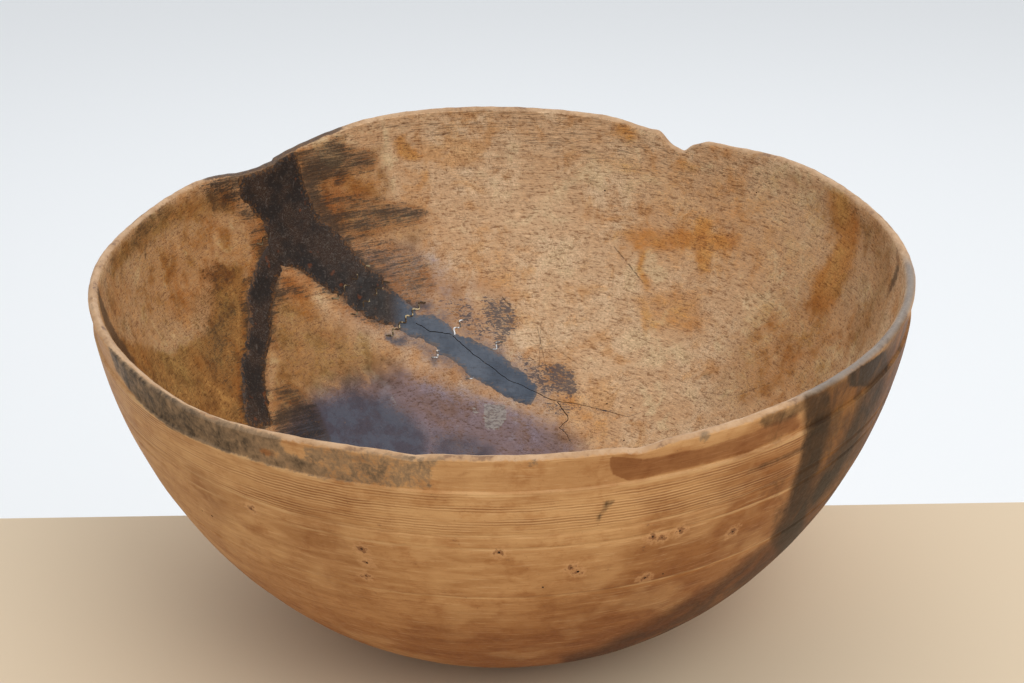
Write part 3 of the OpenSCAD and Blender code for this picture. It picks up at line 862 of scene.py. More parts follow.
@dataclass(frozen=True)
class HollowBirch(OldBirch):
    """The hollow: scoured round and round, soaked in oil, stained and cut."""

    khaki: Colour = tone(212, 186, 146)
    amber: Colour = tone(196, 148, 84)
    slate: tuple[Colour, Colour] = (tone(72, 79, 94), tone(62, 60, 72))
    blotted: Colour = tone(66, 63, 70)
    chalk: tuple[Colour, Colour] = (tone(112, 104, 102), tone(152, 148, 142))
    black: tuple[Colour, Colour] = (tone(32, 26, 24), tone(66, 48, 34))
    mottled: Colour = (0.88, 0.71, 0.49)
    deep_grain: Colour = (0.44, 0.34, 0.26)
    high_grain: Colour = (1.36, 1.38, 1.38)
    dashed: Colour = (0.4, 0.3, 0.24)
    crazed: Colour = (0.42, 0.33, 0.26)
    gold_mottled: Colour = (0.55, 0.46, 0.36)
    oiled: Colour = (0.74, 0.52, 0.28)
    tinted_covers: tuple[tuple[str, Colour, float], ...] = (
        ("tea", (0.52, 0.40, 0.20), 1.0), ("warm", (0.90, 0.66, 0.34), 1.2),
        ("plum", (0.36, 0.41, 0.80), 0.8),
    )
    brushed: tuple[Pixel, Pixel] = ((330, 214), (430, 196))

    def build(self, turning: Turning, view: View) -> bpy.types.Material:
        """Lays out the material.

        Args:
            turning: The bowl's form.
            view: The photograph's view, which places the cuts.

        Returns:
            The material.
        """
        b = Bench("hollow_birch")
        where = b.place()
        drift = b.noise(where, 28, 3, 0.6)
        blotch = b.noise(where, 85, 4, 0.66)
        fine = b.noise(where, 420, 3, 0.6)
        scour = b.noise(self._scoured(b, where, turning, 130, 940), 1, 2, 0.6, 0.9)
        nap = b.noise(self._scoured(b, where, turning, 260, 620), 1, 3, 0.65, 1.0)
        dash = b.noise(self._scoured(b, where, turning, 170, 1300), 1, 1, 0.5, 0.5)
        fibre = b.noise(where * (150, 820, 820), 1, 3, 0.6, 0.5)
        hair = b.noise(self._swung(where, 38) * (120, 900, 460), 1, 2, 0.55)
        grain = scour.swing(1.5) + nap.swing(1.6) + fibre.swing(0.8) + hair.swing(0.9)
        colour = b.mix(blotch.step(0.35, 0.6), self.tan, self.straw)
        colour = b.mix(drift.step(0.32, 0.68), self.tan, colour)
        mottle = b.noise(where, 52, 5, 0.7, 0.4) * 0.6 + b.noise(where, 15, 3, 0.6) * 0.4
        colour = b.mix(mottle.step(0.47, 0.38) * 0.85, colour, self.khaki)
        colour = b.mix(b.cover("pale") * 0.7, colour, self.straw)
        colour = b.tint(mottle.step(0.49, 0.60) * 0.75, colour, self.mottled)
        colour = self._tints(b, colour, blotch, grain)
        colour = b.tint(grain.step(-0.02, -0.46) * 0.85, colour, self.deep_grain)
        colour = b.tint(grain.step(0.06, 0.55) * 0.7, colour, self.high_grain)
        colour = b.tint(dash.step(0.62, 0.72) * 0.25, colour, self.dashed)
        cracks = abs(b.noise(where, 300, 2, 0.55, 1.8).swing()).step(0.045, 0.004)
        colour = b.tint(cracks * drift.step(0.34, 0.56) * 0.6, colour, self.crazed)
        vein = abs(b.noise(where * (10, 150, 420), 1, 2, 0.6, 0.4).swing()).step(0.03, 0.006)
        colour = b.mix(vein * b.cover("veins") * 0.6, colour, self.umber)
        colour, dark = self._coats(b, where, view, colour, blotch, grain)
        cuts = self._cuts(where, fine, view, turning)
        colour = b.mix(cuts * 0.7, colour, self.umber)
        colour = self._lip(b, colour, blotch, fine)
        rough = 0.56 + fine.swing(0.3) - grain * 0.1 - dark * 0.1
        b.finish(colour, rough, grain * 0.00016 + blotch * 0.0005 - cuts * 0.0003, self.gloss)
        return b.material

    @staticmethod
    def _scoured(b: Bench, where: Wire, turning: Turning, along: float, across: float) -> Wire:
        """Places stretched round the hollow, in lengths of 1 over along and across metres."""
        _, _, z = b.split(where)
        flat = where * (1, 1, 0)
        way = b.node("ShaderNodeVectorMath", {"operation": "NORMALIZE"}, {0: flat}, vector=True)
        sides = {0: flat.measure("LENGTH"), 1: turning.height - z}
        fall = b.node("ShaderNodeMath", {"operation": "ARCTAN2"}, sides)
        lift = b.node("ShaderNodeCombineXYZ", {}, {2: fall * (turning.mouth_r * across)}, vector=True)
        reach = turning.mouth_r * along
        return way * (reach, reach, 0) + lift

    def _tints(self, b: Bench, colour: Wire, blotch: Wire, grain: Wire) -> Wire:
        """A darker golden brown with its mottles, and what soaked in: rust orange and plum."""
        for name, tint, uneven in self.tinted_covers:
            tinted_share = self._spread_cover(b, name, blotch.swing(uneven) + grain * 0.25)
            colour = b.tint(tinted_share.step(0.05, 0.95), colour, tint)
        # Mottles within the darker golden brown: darker patches and amber ones
        gold_mottled = b.cover("tea")
        colour = b.tint(blotch.step(0.5, 0.62) * gold_mottled * 0.6, colour, self.gold_mottled)
        return b.mix(blotch.step(0.44, 0.34) * gold_mottled * 0.35, colour, self.amber)

    def _coats(
        self, b: Bench, where: Wire, view: View, colour: Wire, blotch: Wire, grain: Wire,
    ) -> tuple[Wire, Wire]:
        """What lies on the wood: iron's slate, chalk, grime and brushed pitch, and where it is dark."""
        iron = self._spread_cover(b, "iron", grain * 0.22 + blotch.swing(0.5)).step(0.28, 0.85)
        colour = b.mix(iron * 0.9, colour, b.mix(blotch.step(0.4, 0.6), *self.slate))
        blot = (b.cover("blot") + grain * 1.1).step(0.42, 0.72) * b.cover("blot").step(0.05, 0.3)
        colour = b.mix(blot * 0.85, colour, self.blotted)
        chalk = (b.cover("chalk") + grain * 0.5).step(0.38, 0.62)
        colour = b.mix(chalk * 0.8, colour, b.mix(grain.step(-0.2, 0.2), *self.chalk))
        grime = self._spread_cover(b, "grime", grain * 0.8 + blotch.swing()).step(0.25, 0.8)
        colour = b.mix(grime * 0.75, colour, self.umber)
        laid = b.cover("pitch")
        hairs = b.noise(self._swept(b, where, view, 34, 760), 1, 3, 0.7, 0.8)
        sweep = b.noise(self._swept(b, where, view, 26, 130), 1, 5, 0.72, 0.8)
        brush = sweep.swing(2.2) + hairs.swing(1.6) + grain * 0.8
        pitch = self._spread_cover(b, "pitch", brush * (1.4 - laid)).step(0.36, 0.92)
        colour = b.tint(laid.step(0.1, 0.5) * (1 - pitch) * 0.6, colour, self.oiled)
        colour = b.mix(pitch * 0.88, colour, b.mix(grain.step(-0.1, 0.4), *self.black))
        return colour, iron + pitch

    def _swept(self, b: Bench, where: Wire, view: View, along: float, across: float) -> Wire:
        """Places stretched along the way that the brush went."""
        first, last = (view.ray(*pixel) for pixel in self.brushed)
        run, over = where.dot(unit(last - first)), where.dot(unit(np.cross(first, last)))
        return b.node("ShaderNodeCombineXYZ", {}, {0: run * along, 1: over * across}, vector=True)

    @staticmethod
    def _cuts(where: Wire, fine: Wire, view: View, turning: Turning) -> Wire:
        """The longer knife cuts, as one mask."""
        total: Any = 0.0
        sway = fine.swing(0.0012)
        for cut in SCRATCHES:
            first, last = (view.spot(*pixel, Side.INSIDE, turning) for pixel in (cut.start, cut.end))
            run = unit(last - first)
            side = unit(np.cross(run, turning.off_wall(first[None])[0]))
            off = abs(where.dot(side) + sway - float(side @ first))
            along = abs(where.dot(run) - float(run @ (first + last)) / 2)
            reach, half = float(np.linalg.norm(last - first)) / 2, cut.half * MM
            mark = off.step(half * 1.6, half * 0.4) * along.step(reach, reach * 0.7)
            total = mark * cut.strength + total
        return total.least(1.0) * fine.step(0.35, 0.55)


@dataclass(frozen=True)
class TurnedBirch(OldBirch):
    """The outside, with its turned lines, soot under the rim and the scorch on its right; painted shade
    darkens it low down and over its right side, and painted highlights lighten its left, its front and the
    edges of its ledge and grooves.
    """

    honey: Colour = tone(194, 147, 97)
    toffee: Colour = tone(168, 118, 69)
    # Colour of the painted highlights on the outside
    glow: Colour = tone(214, 170, 118)
    bare: Colour = tone(218, 174, 120)
    pale_fibre: Colour = tone(236, 198, 150)
    # Colour of the worn edges, which also carries a painted highlight
    worn_and_lit_edge: Colour = tone(226, 186, 134)
    pale_line: Colour = tone(226, 184, 132)
    smoke: Colour = tone(142, 116, 88)
    soot: Colour = tone(48, 38, 28)
    charred: tuple[Colour, Colour] = (tone(34, 20, 5), tone(60, 38, 12))
    torn: Colour = tone(210, 162, 114)
    # Tint of the painted shade that darkens the outside towards the bottom
    low_shade: Colour = (0.72, 0.54, 0.34)
    # Tint of the darker brown patches
    brown_patch_tint: Colour = (0.54, 0.38, 0.23)
    blotched: Colour = (0.76, 0.62, 0.48)
    dark_fibre: Colour = (0.66, 0.52, 0.40)
    dark_line: Colour = (0.56, 0.43, 0.32)
    dusty: Colour = (0.6, 0.48, 0.38)
    behind: Colour = (0.66, 0.54, 0.42)
    rusty: Colour = (0.50, 0.34, 0.23)
    # Tints of the burn and of the painted shade over the right side
    singed_and_shaded: tuple[Colour, Colour] = ((0.17, 0.12, 0.05), (0.42, 0.30, 0.14))
    heart: Colour = (0.34, 0.23, 0.17)
    line_pitch: float = 0.0016
    ledge_half: float = 0.0017
    groove_halves: tuple[float, ...] = (0.0011, 0.0012, 0.0010)
    torn_reach: tuple[float, float, float] = (0.0056, 0.0026, 0.0010)

    def build(self, turning: Turning, view: View) -> bpy.types.Material:
        """Lays out the material.

        Args:
            turning: The bowl's form.
            view: The photograph's view, which places the knots.

        Returns:
            The material.
        """
        b = Bench("turned_birch")
        where = b.place()
        _, y, z = b.split(where)
        drift = b.noise(where, 26, 3, 0.6)
        blotch = b.noise(where, 80, 4, 0.66)
        fine = b.noise(where, 460, 3, 0.62)
        streak = b.noise(where * (34, 34, 170), 1, 4, 0.66, 0.5)
        fibre = b.noise(where * (60, 60, 900), 1, 3, 0.62, 0.6)
        level = z + drift.swing(0.0026) + blotch.swing(0.0007)
        colour = b.mix(streak.step(0.34, 0.66) * 0.8, self.honey, self.toffee)
        # Painted highlight where light falls on the outside
        colour = b.mix(b.cover("glow") * 0.55, colour, self.glow)
        # Painted shade: the outside darker towards the bottom
        colour = b.tint(z.step(0.15, 0.03), colour, self.low_shade)
        # Darker brown patches, the largest over the lower right and bottom
        colour = b.tint(b.cover("toast") * 0.9, colour, self.brown_patch_tint)
        colour = b.tint(blotch.step(0.48, 0.66) * 0.6, colour, self.blotched)
        colour = b.mix(drift.step(0.5, 0.35) * 0.25, colour, self.bare)
        colour = b.tint(fibre.step(0.55, 0.72) * 0.35, colour, self.dark_fibre)
        colour = b.mix(fibre.step(0.45, 0.3) * 0.2, colour, self.pale_fibre)
        colour, lined = self._lines(b, where, colour, level, z, turning)
        # Painted highlight over wear: the edges of the ledge and grooves lightened
        colour = b.mix(self._worn_and_lit_edges(b, where, level, turning) * 0.42, colour, self.worn_and_lit_edge)
        colour = self._lip(b, colour, blotch, fine)
        colour = self._marks(b, where, colour, blotch, fine, streak)
        colour = b.tint(fine.step(0.6, 0.75) * 0.3, colour, self.dusty)
        rear = (b.noise(where, 9, 3, 0.6).swing() + y * 1.4).step(0.1, 0.3)
        colour = b.tint(rear * blotch.step(0.35, 0.65) * 0.4, colour, self.behind)
        colour = self._knots(b, where, colour, fine, view, turning)
        rough = 0.56 + fine.swing(0.3)
        relief = lined * 0.00008 + streak * 0.0002 + blotch * 0.0004 + fine * 0.00006
        b.finish(colour, rough, relief, self.gloss)
        return b.material

    def _lines(
        self, b: Bench, where: Wire, colour: Wire, level: Wire, z: Wire, turning: Turning,
    ) -> tuple[Wire, Wire]:
        """The fine turned lines under the ledge, worn away in places, and their relief."""
        low, high = turning.height - turning.groove_drops[0], turning.height - turning.collar_h
        wave = (level * (2 * math.pi / self.line_pitch)).sin()
        kept = z.step(low - 0.004, low + 0.003) * z.step(high + 0.0005, high - 0.002)
        kept = kept * b.noise(where * (16, 16, 230), 1, 3, 0.6).step(0.4, 0.62) * (1 - b.cover("singe"))
        colour = b.tint((wave * 0.5 + 0.5) * kept * 0.7, colour, self.dark_line)
        colour = b.mix((0.3 - wave * 0.7) * kept * 0.35, colour, self.pale_line)
        return colour, wave * kept

    def _worn_and_lit_edges(self, b: Bench, where: Wire, level: Wire, turning: Turning) -> Wire:
        """The edges of the ledge and grooves, worn pale and lightened further as a painted highlight where
        light catches them, bright in places.
        """
        drops = (turning.collar_h + 0.4 * MM, *turning.groove_drops)
        total: Any = 0.0
        for drop, half in zip(drops, (self.ledge_half, *self.groove_halves)):
            total = abs(level - (turning.height - drop)).step(half, half * 0.3) + total
        return total.least(1.0) * b.noise(where * (26, 26, 160), 1, 3, 0.6).step(0.38, 0.62)

    def _marks(self, b: Bench, where: Wire, colour: Wire, blotch: Wire, fine: Wire, streak: Wire) -> Wire:
        """Soot, russet patches, the scorch, and a wide burn over the right side that is darkened further as
        painted shade.
        """
        curl = b.noise(where * (240, 240, 170), 1, 5, 0.72, 0.5)
        sooty = b.cover("soot") * (1 - b.cover("russet") * 0.85)
        smoke = (sooty + curl.swing(1.1) + fine.swing(0.5)).step(0.25, 0.6) * sooty.step(0.05, 0.3)
        colour = b.mix(smoke * 0.88, colour, self.smoke)
        soot = sooty * 1.1 + curl.swing(2.0) + blotch.swing(1.6) + fine.swing(0.7) - 0.3
        colour = b.mix(soot.step(0.1, 1.3) * smoke * 0.9, colour, self.soot)
        russet = self._spread_cover(b, "russet", blotch.swing(0.6)).step(0.3, 0.7)
        colour = b.tint(russet * 0.8, colour, self.rusty)
        run = b.noise(where * (60, 60, 26), 1, 5, 0.7, 0.8).swing()
        # The burn, and painted shade over the right and lower right side
        singe = (b.cover("singe") + fine.swing(0.2) + run * 0.8 * b.cover("singe")).step(0.2, 0.9)
        colour = b.tint(singe * 0.95, colour, b.mix(run.step(-0.1, 0.12), *self.singed_and_shaded))
        scorch = (self._spread_cover(b, "scorch", run * 1.2) + fine.swing(0.3)).step(0.2, 0.95)
        patchy = b.noise(where * (50, 50, 30), 1, 4, 0.65, 0.5).step(0.66, 0.40) * 0.35 + 0.65
        return b.mix(scorch * patchy, colour, b.mix(streak, *self.charred))

    def _knots(self, b: Bench, where: Wire, colour: Wire, fine: Wire, view: View, turning: Turning) -> Wire:
        """The pale torn wood and dark hearts of the pin knots."""
        nearest: Any = 1.0
        for pit in (p for p in PITS if p.chipped):
            spot = view.spot(pit.x, pit.y, pit.side, turning)
            nearest = where.measure("DISTANCE", tuple(spot)).least(nearest)
        frayed, (far, mid, near) = nearest + fine.swing(0.010), self.torn_reach
        colour = b.mix(frayed.step(far, mid) * 0.4, colour, self.torn)
        return b.tint(frayed.step(mid, near) * 0.75, colour, self.heart)


@dataclass(frozen=True)
class Filler:
    """Hard filler, brushed black, frayed to the wood at its edge, or worn to slate."""

    name: str
    face: Colour
    worn: Colour
    brown: Colour = tone(58, 40, 29)
    dash: Colour = tone(98, 90, 84)
    slate: Colour = tone(66, 77, 93)
    dull: Colour = tone(50, 50, 56)
    black: Colour = tone(22, 21, 23)
    hair: Colour = tone(124, 116, 106)
    rust: Colour = tone(110, 58, 28)
    wood: tuple[Colour, Colour] = (tone(116, 80, 47), tone(66, 47, 32))
    worn_wood: Colour = tone(112, 96, 84)
    rough: float = 0.46
    gloss: float = 0.26

    def build(self) -> bpy.types.Material:
        """Lays out the material."""
        b = Bench(self.name)
        where = b.place()
        drift = b.noise(where, 46, 3, 0.6)
        fine = b.noise(where, 500, 3, 0.6)
        brush = b.noise(where * (170, 760, 760), 1, 3, 0.6, 0.6)
        cross = b.noise(where * (620, 200, 240), 1, 3, 0.6, 0.7)
        worn = (b.cover("worn") + drift.swing(0.5)).step(0.25, 0.75)
        colour = b.mix(drift.step(0.4, 0.62) * 0.7, self.face, self.brown)
        dashes = (brush.step(0.56, 0.7) * 0.4 + cross.step(0.6, 0.72) * 0.5) * (1 - worn * 0.8)
        colour = b.mix(dashes, colour, self.dash)
        slate = b.mix(drift.step(0.35, 0.65), self.worn, self.slate)
        slate = b.mix(brush.step(0.5, 0.66) * 0.3, slate, self.dull)
        colour = b.mix(worn, colour, slate)
        colour = b.mix(fine.step(0.55, 0.75) * 0.3, colour, self.black)
        curl = abs(b.noise(where, 260, 2, 0.5, 2.2).swing()).step(0.016, 0.003)
        colour = b.mix(curl * drift.step(0.42, 0.56) * (1 - worn * 0.9) * 0.45, colour, self.hair)
        rust = b.noise(where, 150, 2, 0.5).step(0.66, 0.74) * (1 - worn)
        colour = b.mix(rust * 0.6, colour, self.rust)
        frayed = (b.cover("inward") + brush.swing(14) + cross.swing(9)).step(2.6, -0.2)
        colour = b.mix(frayed * (1 - worn) * 0.75, colour, b.mix(cross.step(0.4, 0.6), *self.wood))
        colour = b.mix(frayed * worn * 0.6, colour, self.worn_wood)
        relief = brush * 0.00018 + cross * 0.00016 + fine * 0.00006 + drift * 0.0003
        b.finish(colour, self.rough + fine.swing(0.3), relief, self.gloss)
        return b.material


@dataclass(frozen=True)
class CrackDirtAndShade:
    """Old dirt in the crack and the worm holes, with painted shade: a dark finish for the walls of the cuts
    and the strips' sides.
    """

    dark: Colour = tone(44, 36, 31)
    brown: Colour = tone(78, 60, 46)
    gloss: float = 0.2

    def build(self) -> bpy.types.Material:
        """Lays out the material."""
        b = Bench("crack_dust")
        speck = b.noise(b.place(), 700, 3, 0.6)
        b.finish(b.mix(speck, self.dark, self.brown), 0.85 + speck * 0.1, speck * 0.0002, self.gloss)
        return b.material


@dataclass(frozen=True)
class WornSteel:
    """Thin steel seen on edge, rubbed bright or stained brown."""

    name: str
    bright: Colour
    stained: Colour
    stain_from: float = 0.4
    stain_soft: float = 0.12
    gloss: float = 0.5
    metal: float = 0.85

    def build(self) -> bpy.types.Material:
        """Lays out the material."""
        b = Bench(self.name)
        where = b.place()
        patch = b.noise(where, 260, 3, 0.6).step(self.stain_from, self.stain_from + self.stain_soft)
        grain = b.noise(where * (900, 900, 200), 1, 2, 0.6)
        colour = b.mix(patch, self.bright, self.stained)
        b.finish(colour, 0.28 + grain * 0.2 + patch * 0.3, grain * 0.00003, self.gloss, self.metal)
        return b.material


# Pieces


def link(name: str, mesh: bpy.types.Mesh, materials: list[bpy.types.Material]) -> bpy.types.Object:
    """Puts a mesh into the scene as an object with its materials."""
    piece = bpy.data.objects.new(name, mesh)
    for material in materials:
        mesh.materials.append(material)
    bpy.context.scene.collection.objects.link(piece)
    return piece


def shade(mesh: bpy.types.Mesh, crease: float) -> None:
    """Shades a mesh smoothly, but for edges sharper than crease degrees."""
    mesh.polygons.foreach_set("use_smooth", np.ones(len(mesh.polygons), bool))
    mesh.set_sharp_from_angle(angle=math.radians(crease))


def write_cover(mesh: bpy.types.Mesh, name: str, values: np.ndarray) -> None:
    """Writes one number a vertex as an attribute."""
    layer = mesh.attributes.new(name, "FLOAT", "POINT")
    layer.data.foreach_set("value", values.astype(np.float32))


def vertices(mesh: bpy.types.Mesh) -> np.ndarray:
    """A mesh's vertices, one in a row."""
    places = np.empty(len(mesh.vertices) * 3)
    mesh.vertices.foreach_get("co", places)
    return places.reshape(-1, 3)


def middles(mesh: bpy.types.Mesh, what: str = "center") -> np.ndarray:
    """The middle, or the normal, of each of a mesh's faces."""
    places = np.empty(len(mesh.polygons) * 3)
    mesh.polygons.foreach_get(what, places)
    return places.reshape(-1, 3)


def give_slot(mesh: bpy.types.Mesh, chosen: np.ndarray, index: int) -> None:
    """Gives the chosen faces a material slot."""
    slots = np.zeros(len(mesh.polygons), np.int32)
    mesh.polygons.foreach_get("material_index", slots)
    slots[chosen] = index
    mesh.polygons.foreach_set("material_index", slots)


@dataclass
class Repair:
    """The crack in the inner wall and its hairline, given as azimuths and falls, and how they are cut."""

    turning: Turning
    crack: Line = (
        (109.5, 55), (106.5, 53), (102, 52), (100.5, 50.5), (97.5, 48), (93.5, 45.5), (89, 43),
        (82.5, 41), (77, 39.5), (70, 39.4), (63.5, 39.2), (54, 39.3), (51, 40.7),
    )
    hairline: Line = ((75.3, 39.4), (71, 36.5), (73, 34.5), (70, 33.2), (67.5, 31.8))
    crack_half: float = 0.00034
    hair_half: float = 0.00026
    crack_seed: int = 3
    hair_seed: int = 4
    depth: float = 0.003
    lift: float = 0.003
    jump: float = 0.0004
    taper: float = 0.75
    splay: float = 2.0
    stations: int = 5

    def cracked(self, share: float = 1.0) -> bpy.types.Mesh:
        """The crack's wedge, at a share of its width."""
        return self.trench(self.crack, self.crack_half * share, self.crack_seed)

    def hair(self) -> bpy.types.Mesh:
        """The hairline's wedge."""
        return self.trench(self.hairline, self.hair_half, self.hair_seed)

    def trench(self, line: Line, half: float, seed: int) -> bpy.types.Mesh:
        """A closed wedge along a line on the wall, wide at the face and sharp below, for cutting.

        Args:
            line: Azimuths and falls.
            half: Half width at the start, which tapers away.
            seed: Seed of the line's small sidesteps.

        Returns:
            The wedge's mesh.
        """
        at, index = np.linspace(0, len(line) - 1, self.stations * len(line)), np.arange(len(line))
        points = self.turning.wall(*(np.interp(at, index, values) for values in zip(*line)))
        jump = np.random.RandomState(seed).uniform(-self.jump, self.jump, (len(points), 1))
        out = self.turning.off_wall(points)
        side = np.cross(unit(np.gradient(points, axis=0)), out)
        width = half * self.splay * (1 - self.taper * np.linspace(0, 1, len(points)) ** 2)[:, None]
        points = points + jump * side
        above = points + out * self.lift
        corners = np.stack([above + side * width, above - side * width, points - out * self.depth], 1)
        mesh = bpy.data.meshes.new("trench")
        faces: list[tuple[int, ...]] = [(0, 1, 2), tuple(3 * len(points) - 3 + i for i in (2, 1, 0))]
        for i in range(len(points) - 1):
            a, c = 3 * i, 3 * i + 3
            faces += [(a + j, c + j, c + (j + 1) % 3, a + (j + 1) % 3) for j in range(3)]
        mesh.from_pydata(corners.reshape(-1, 3).tolist(), [], faces)
        made = bmesh.new()
        made.from_mesh(mesh)
        bmesh.ops.triangulate(made, faces=made.faces)
        bmesh.ops.recalc_face_normals(made, faces=made.faces)
        made.to_mesh(mesh)
        made.free()
        return mesh

    @staticmethod
    def cut(piece: bpy.types.Object, cutters: list[bpy.types.Mesh]) -> None:
        """Takes closed cutters away from a piece for good."""
        made = []
        for mesh in cutters:
            tool = bpy.data.objects.new("cutter", mesh)
            bpy.context.scene.collection.objects.link(tool)
            change = piece.modifiers.new("cut", "BOOLEAN")
            change.operation, change.solver, change.object = "DIFFERENCE", "MANIFOLD", tool
            made.append(tool)
        bpy.context.view_layer.update()
        result = bpy.data.meshes.new_from_object(piece.evaluated_get(bpy.context.evaluated_depsgraph_get()))
        old = piece.data
        piece.modifiers.clear()
        piece.data = result
        result.name = old.name + "_cut"
        for tool in made:
            bpy.data.objects.remove(tool)


@dataclass
class Bowl:
    """The turned bowl, closed from the middle of its foot over the lip to the middle of its floor.

    The outside's rows are set out in spans, each from one height to another at a spacing. The columns
    crowd at the chips in the rim, each an azimuth and a reach in degrees.
    """

    turning: Turning
    view: View
    repair: Repair
    hollow: HollowBirch
    outside: TurnedBirch
    dirt_and_shade: CrackDirtAndShade
    columns: int = 480
    spans: Track = (
        (0.0, 0.010, 0.0014), (0.010, 0.060, 0.0042), (0.060, 0.114, 0.0036), (0.114, 0.120, 0.0007),
        (0.120, 0.149, 0.0026), (0.149, 0.165, 0.0007),
    )
    ledge_span: float = 0.0016
    collar_span: float = 0.0015
    foot_rings: tuple[float, ...] = (0.25, 0.5, 0.75, 0.93)
    floor_rings: tuple[float, ...] = (0.8, 0.55, 0.3)
    lip_steps: int = 8
    inner_rows: int = 84
    crowding: float = 1.7
    chips: tuple[tuple[float, float], ...] = ((60, 4), (130.3, 3), (286.5, 2.5))
    chip_weight: float = 1.6
    samples: int = 7201
    ripple: float = 0.00018
    ripple_seed: int = 11
    ripple_waves: int = 10
    ripple_lengths: tuple[float, float] = (0.02, 0.07)
    drill_sides: int = 10
    drill_depth: float = 0.004
    drill_flare: tuple[float, float] = (0.3, 1.1)
    drill_dip: float = -0.5
    crease: float = 38.0
    buried: tuple[float, float] = (0.0003, 0.0007)
    rim_skin: float = 0.005
    lip_reach: float = 0.0026
    lip_split: float = 189.1
    split_half: float = 0.0005
    rim_pitch: tuple[float, float, float] = (131, 17, 6)
    ash: tuple[float, float, float] = (-27, 27, 7)

    def levels(self) -> np.ndarray:
        """Heights of the outside's rows, close together where fine lines are turned."""
        t = self.turning
        ledge, half = t.height - t.collar_h, t.collar_depth / 2
        spans = (
            *self.spans, (self.spans[-1][1], ledge, self.ledge_span), (ledge, ledge + half, half),
            (ledge + half, t.height, self.collar_span),
        )
        rows = [np.arange(low, high - 1e-6, step) for low, high, step in spans]
        return np.concatenate([*rows, [t.height]])

    def azimuths(self) -> np.ndarray:
        """Azimuths of the columns, closer together where the rim is chipped."""
        fine = np.linspace(0, 360, self.samples)
        weight = np.ones_like(fine)
        for middle, reach in self.chips:
            weight += self.chip_weight * smooth(2 - np.abs(fine - middle) / reach)
        share = np.cumsum(weight) / weight.sum()
        return np.interp(np.arange(self.columns) / self.columns, np.r_[0, share], np.r_[0, fine])

    def rows(self) -> np.ndarray:
        """The rows of the closed form, each a ring of places."""
        t = self.turning
        azimuth = self.azimuths()
        rim, flat = t.rim_z(azimuth), np.zeros_like(azimuth)
        edge, ledge = rim - t.lip_round, t.height - t.collar_h
        rings = [(t.foot_r * share, flat) for share in self.foot_rings]

        def worn(level: float) -> np.ndarray:
            """A level's height once the rim has worn down."""
            share = max(level - ledge, 0) / (t.height - ledge)
            return np.where(level <= ledge, level, ledge + share * (edge - ledge))

        levels = self.levels()
        rings += [(t.outer_r(z), z) for z in map(worn, levels)]
        last_out, first_in = t.outer_r(edge), t.inner_r(edge)
        for k in range(1, self.lip_steps):
            s = 1 - 2 * k / self.lip_steps
            rings.append((first_in + (s + 1) / 2 * (last_out - first_in), rim - t.lip_round * s * s))
        down = t.floor_t + np.linspace(1, 0, self.inner_rows) ** self.crowding * (t.height - t.floor_t)
        rings += [(t.inner_r(z), z) for z in map(worn, down)]
        rings += [(t.floor_r * share, flat + t.floor_t) for share in self.floor_rings]
        places = np.array([ring(r, azimuth, z) for r, z in rings])
        outside = np.arange(len(rings)) < len(levels) + len(self.foot_rings)
        return places - self._ripples(places) * outside[:, None, None]

    def _ripples(self, places: np.ndarray) -> np.ndarray:
        """Slow hollows that hand tools and wear left, never proud of the turned form."""
        rng = np.random.RandomState(self.ripple_seed)
        total = np.zeros(places.shape[:-1])
        for _ in range(self.ripple_waves):
            way = rng.normal(size=3)
            way *= 2 * math.pi / (rng.uniform(*self.ripple_lengths) * np.linalg.norm(way))
            total += np.cos(places @ way + rng.uniform(0, 2 * math.pi))
        depth = self.ripple * (1 + 2 * total / self.ripple_waves).clip(0, 2)
        r = np.hypot(places[..., 0], places[..., 1])
        held = smooth((r - 62 * MM) / (20 * MM)) * smooth(places[..., 2] / (10 * MM))
        push = (depth * held / np.maximum(r, 1e-6))[..., None] * places
        push[..., 2] = 0
        return push

    def build(self) -> bpy.types.Object:
        """Makes the bowl, cuts its crack and worm holes, and paints its covers."""
        rows = self.rows()
        count, wide = rows.shape[:2]
        points = np.vstack([rows.reshape(-1, 3), [[0, 0, 0]], [[0, 0, self.turning.floor_t]]])
        i, j = np.meshgrid(np.arange(count - 1), np.arange(wide), indexing="ij")
        k = (j + 1) % wide
        here, next_row = i * wide, (i + 1) * wide
        faces = np.stack([here + j, here + k, next_row + k, next_row + j], -1).reshape(-1, 4).tolist()
        foot, floor, top = count * wide, count * wide + 1, (count - 1) * wide
        faces += [(foot, (n + 1) % wide, n) for n in range(wide)]
        faces += [(floor, top + n, top + (n + 1) % wide) for n in range(wide)]
        mesh = bpy.data.meshes.new("bowl")
        mesh.from_pydata(points.tolist(), [], faces)
        piece = link("bowl", mesh, [
            self.outside.build(self.turning, self.view), self.hollow.build(self.turning, self.view),
            self.dirt_and_shade.build(),
        ])
        self.repair.cut(piece, [self.repair.cracked(), self.repair.hair(), self._drills()])
        shade(piece.data, self.crease)
        self._paint(piece.data)
        self._sort(piece.data)
        return piece

    def _sort(self, mesh: bpy.types.Mesh) -> None:
        """Gives the hollow's faces, and then the cuts' faces, their own materials, the cuts' faces taking
        the dark finish of old dirt and painted shade.
        """
        t, places = self.turning, middles(mesh)
        r, z = np.hypot(places[:, 0], places[:, 1]), places[:, 2]
        outer, inner = t.outer_r(z), t.inner_r(z)
        give_slot(mesh, (z > t.floor_t - 0.5 * MM) & (r < inner + (outer - inner) / 2), 1)
        within = (r > inner + self.buried[0]) & (r < outer - self.buried[1])
        give_slot(mesh, within & (z > t.floor_t) & (z < t.rim_z(azimuths_of(places)) - self.rim_skin), 2)

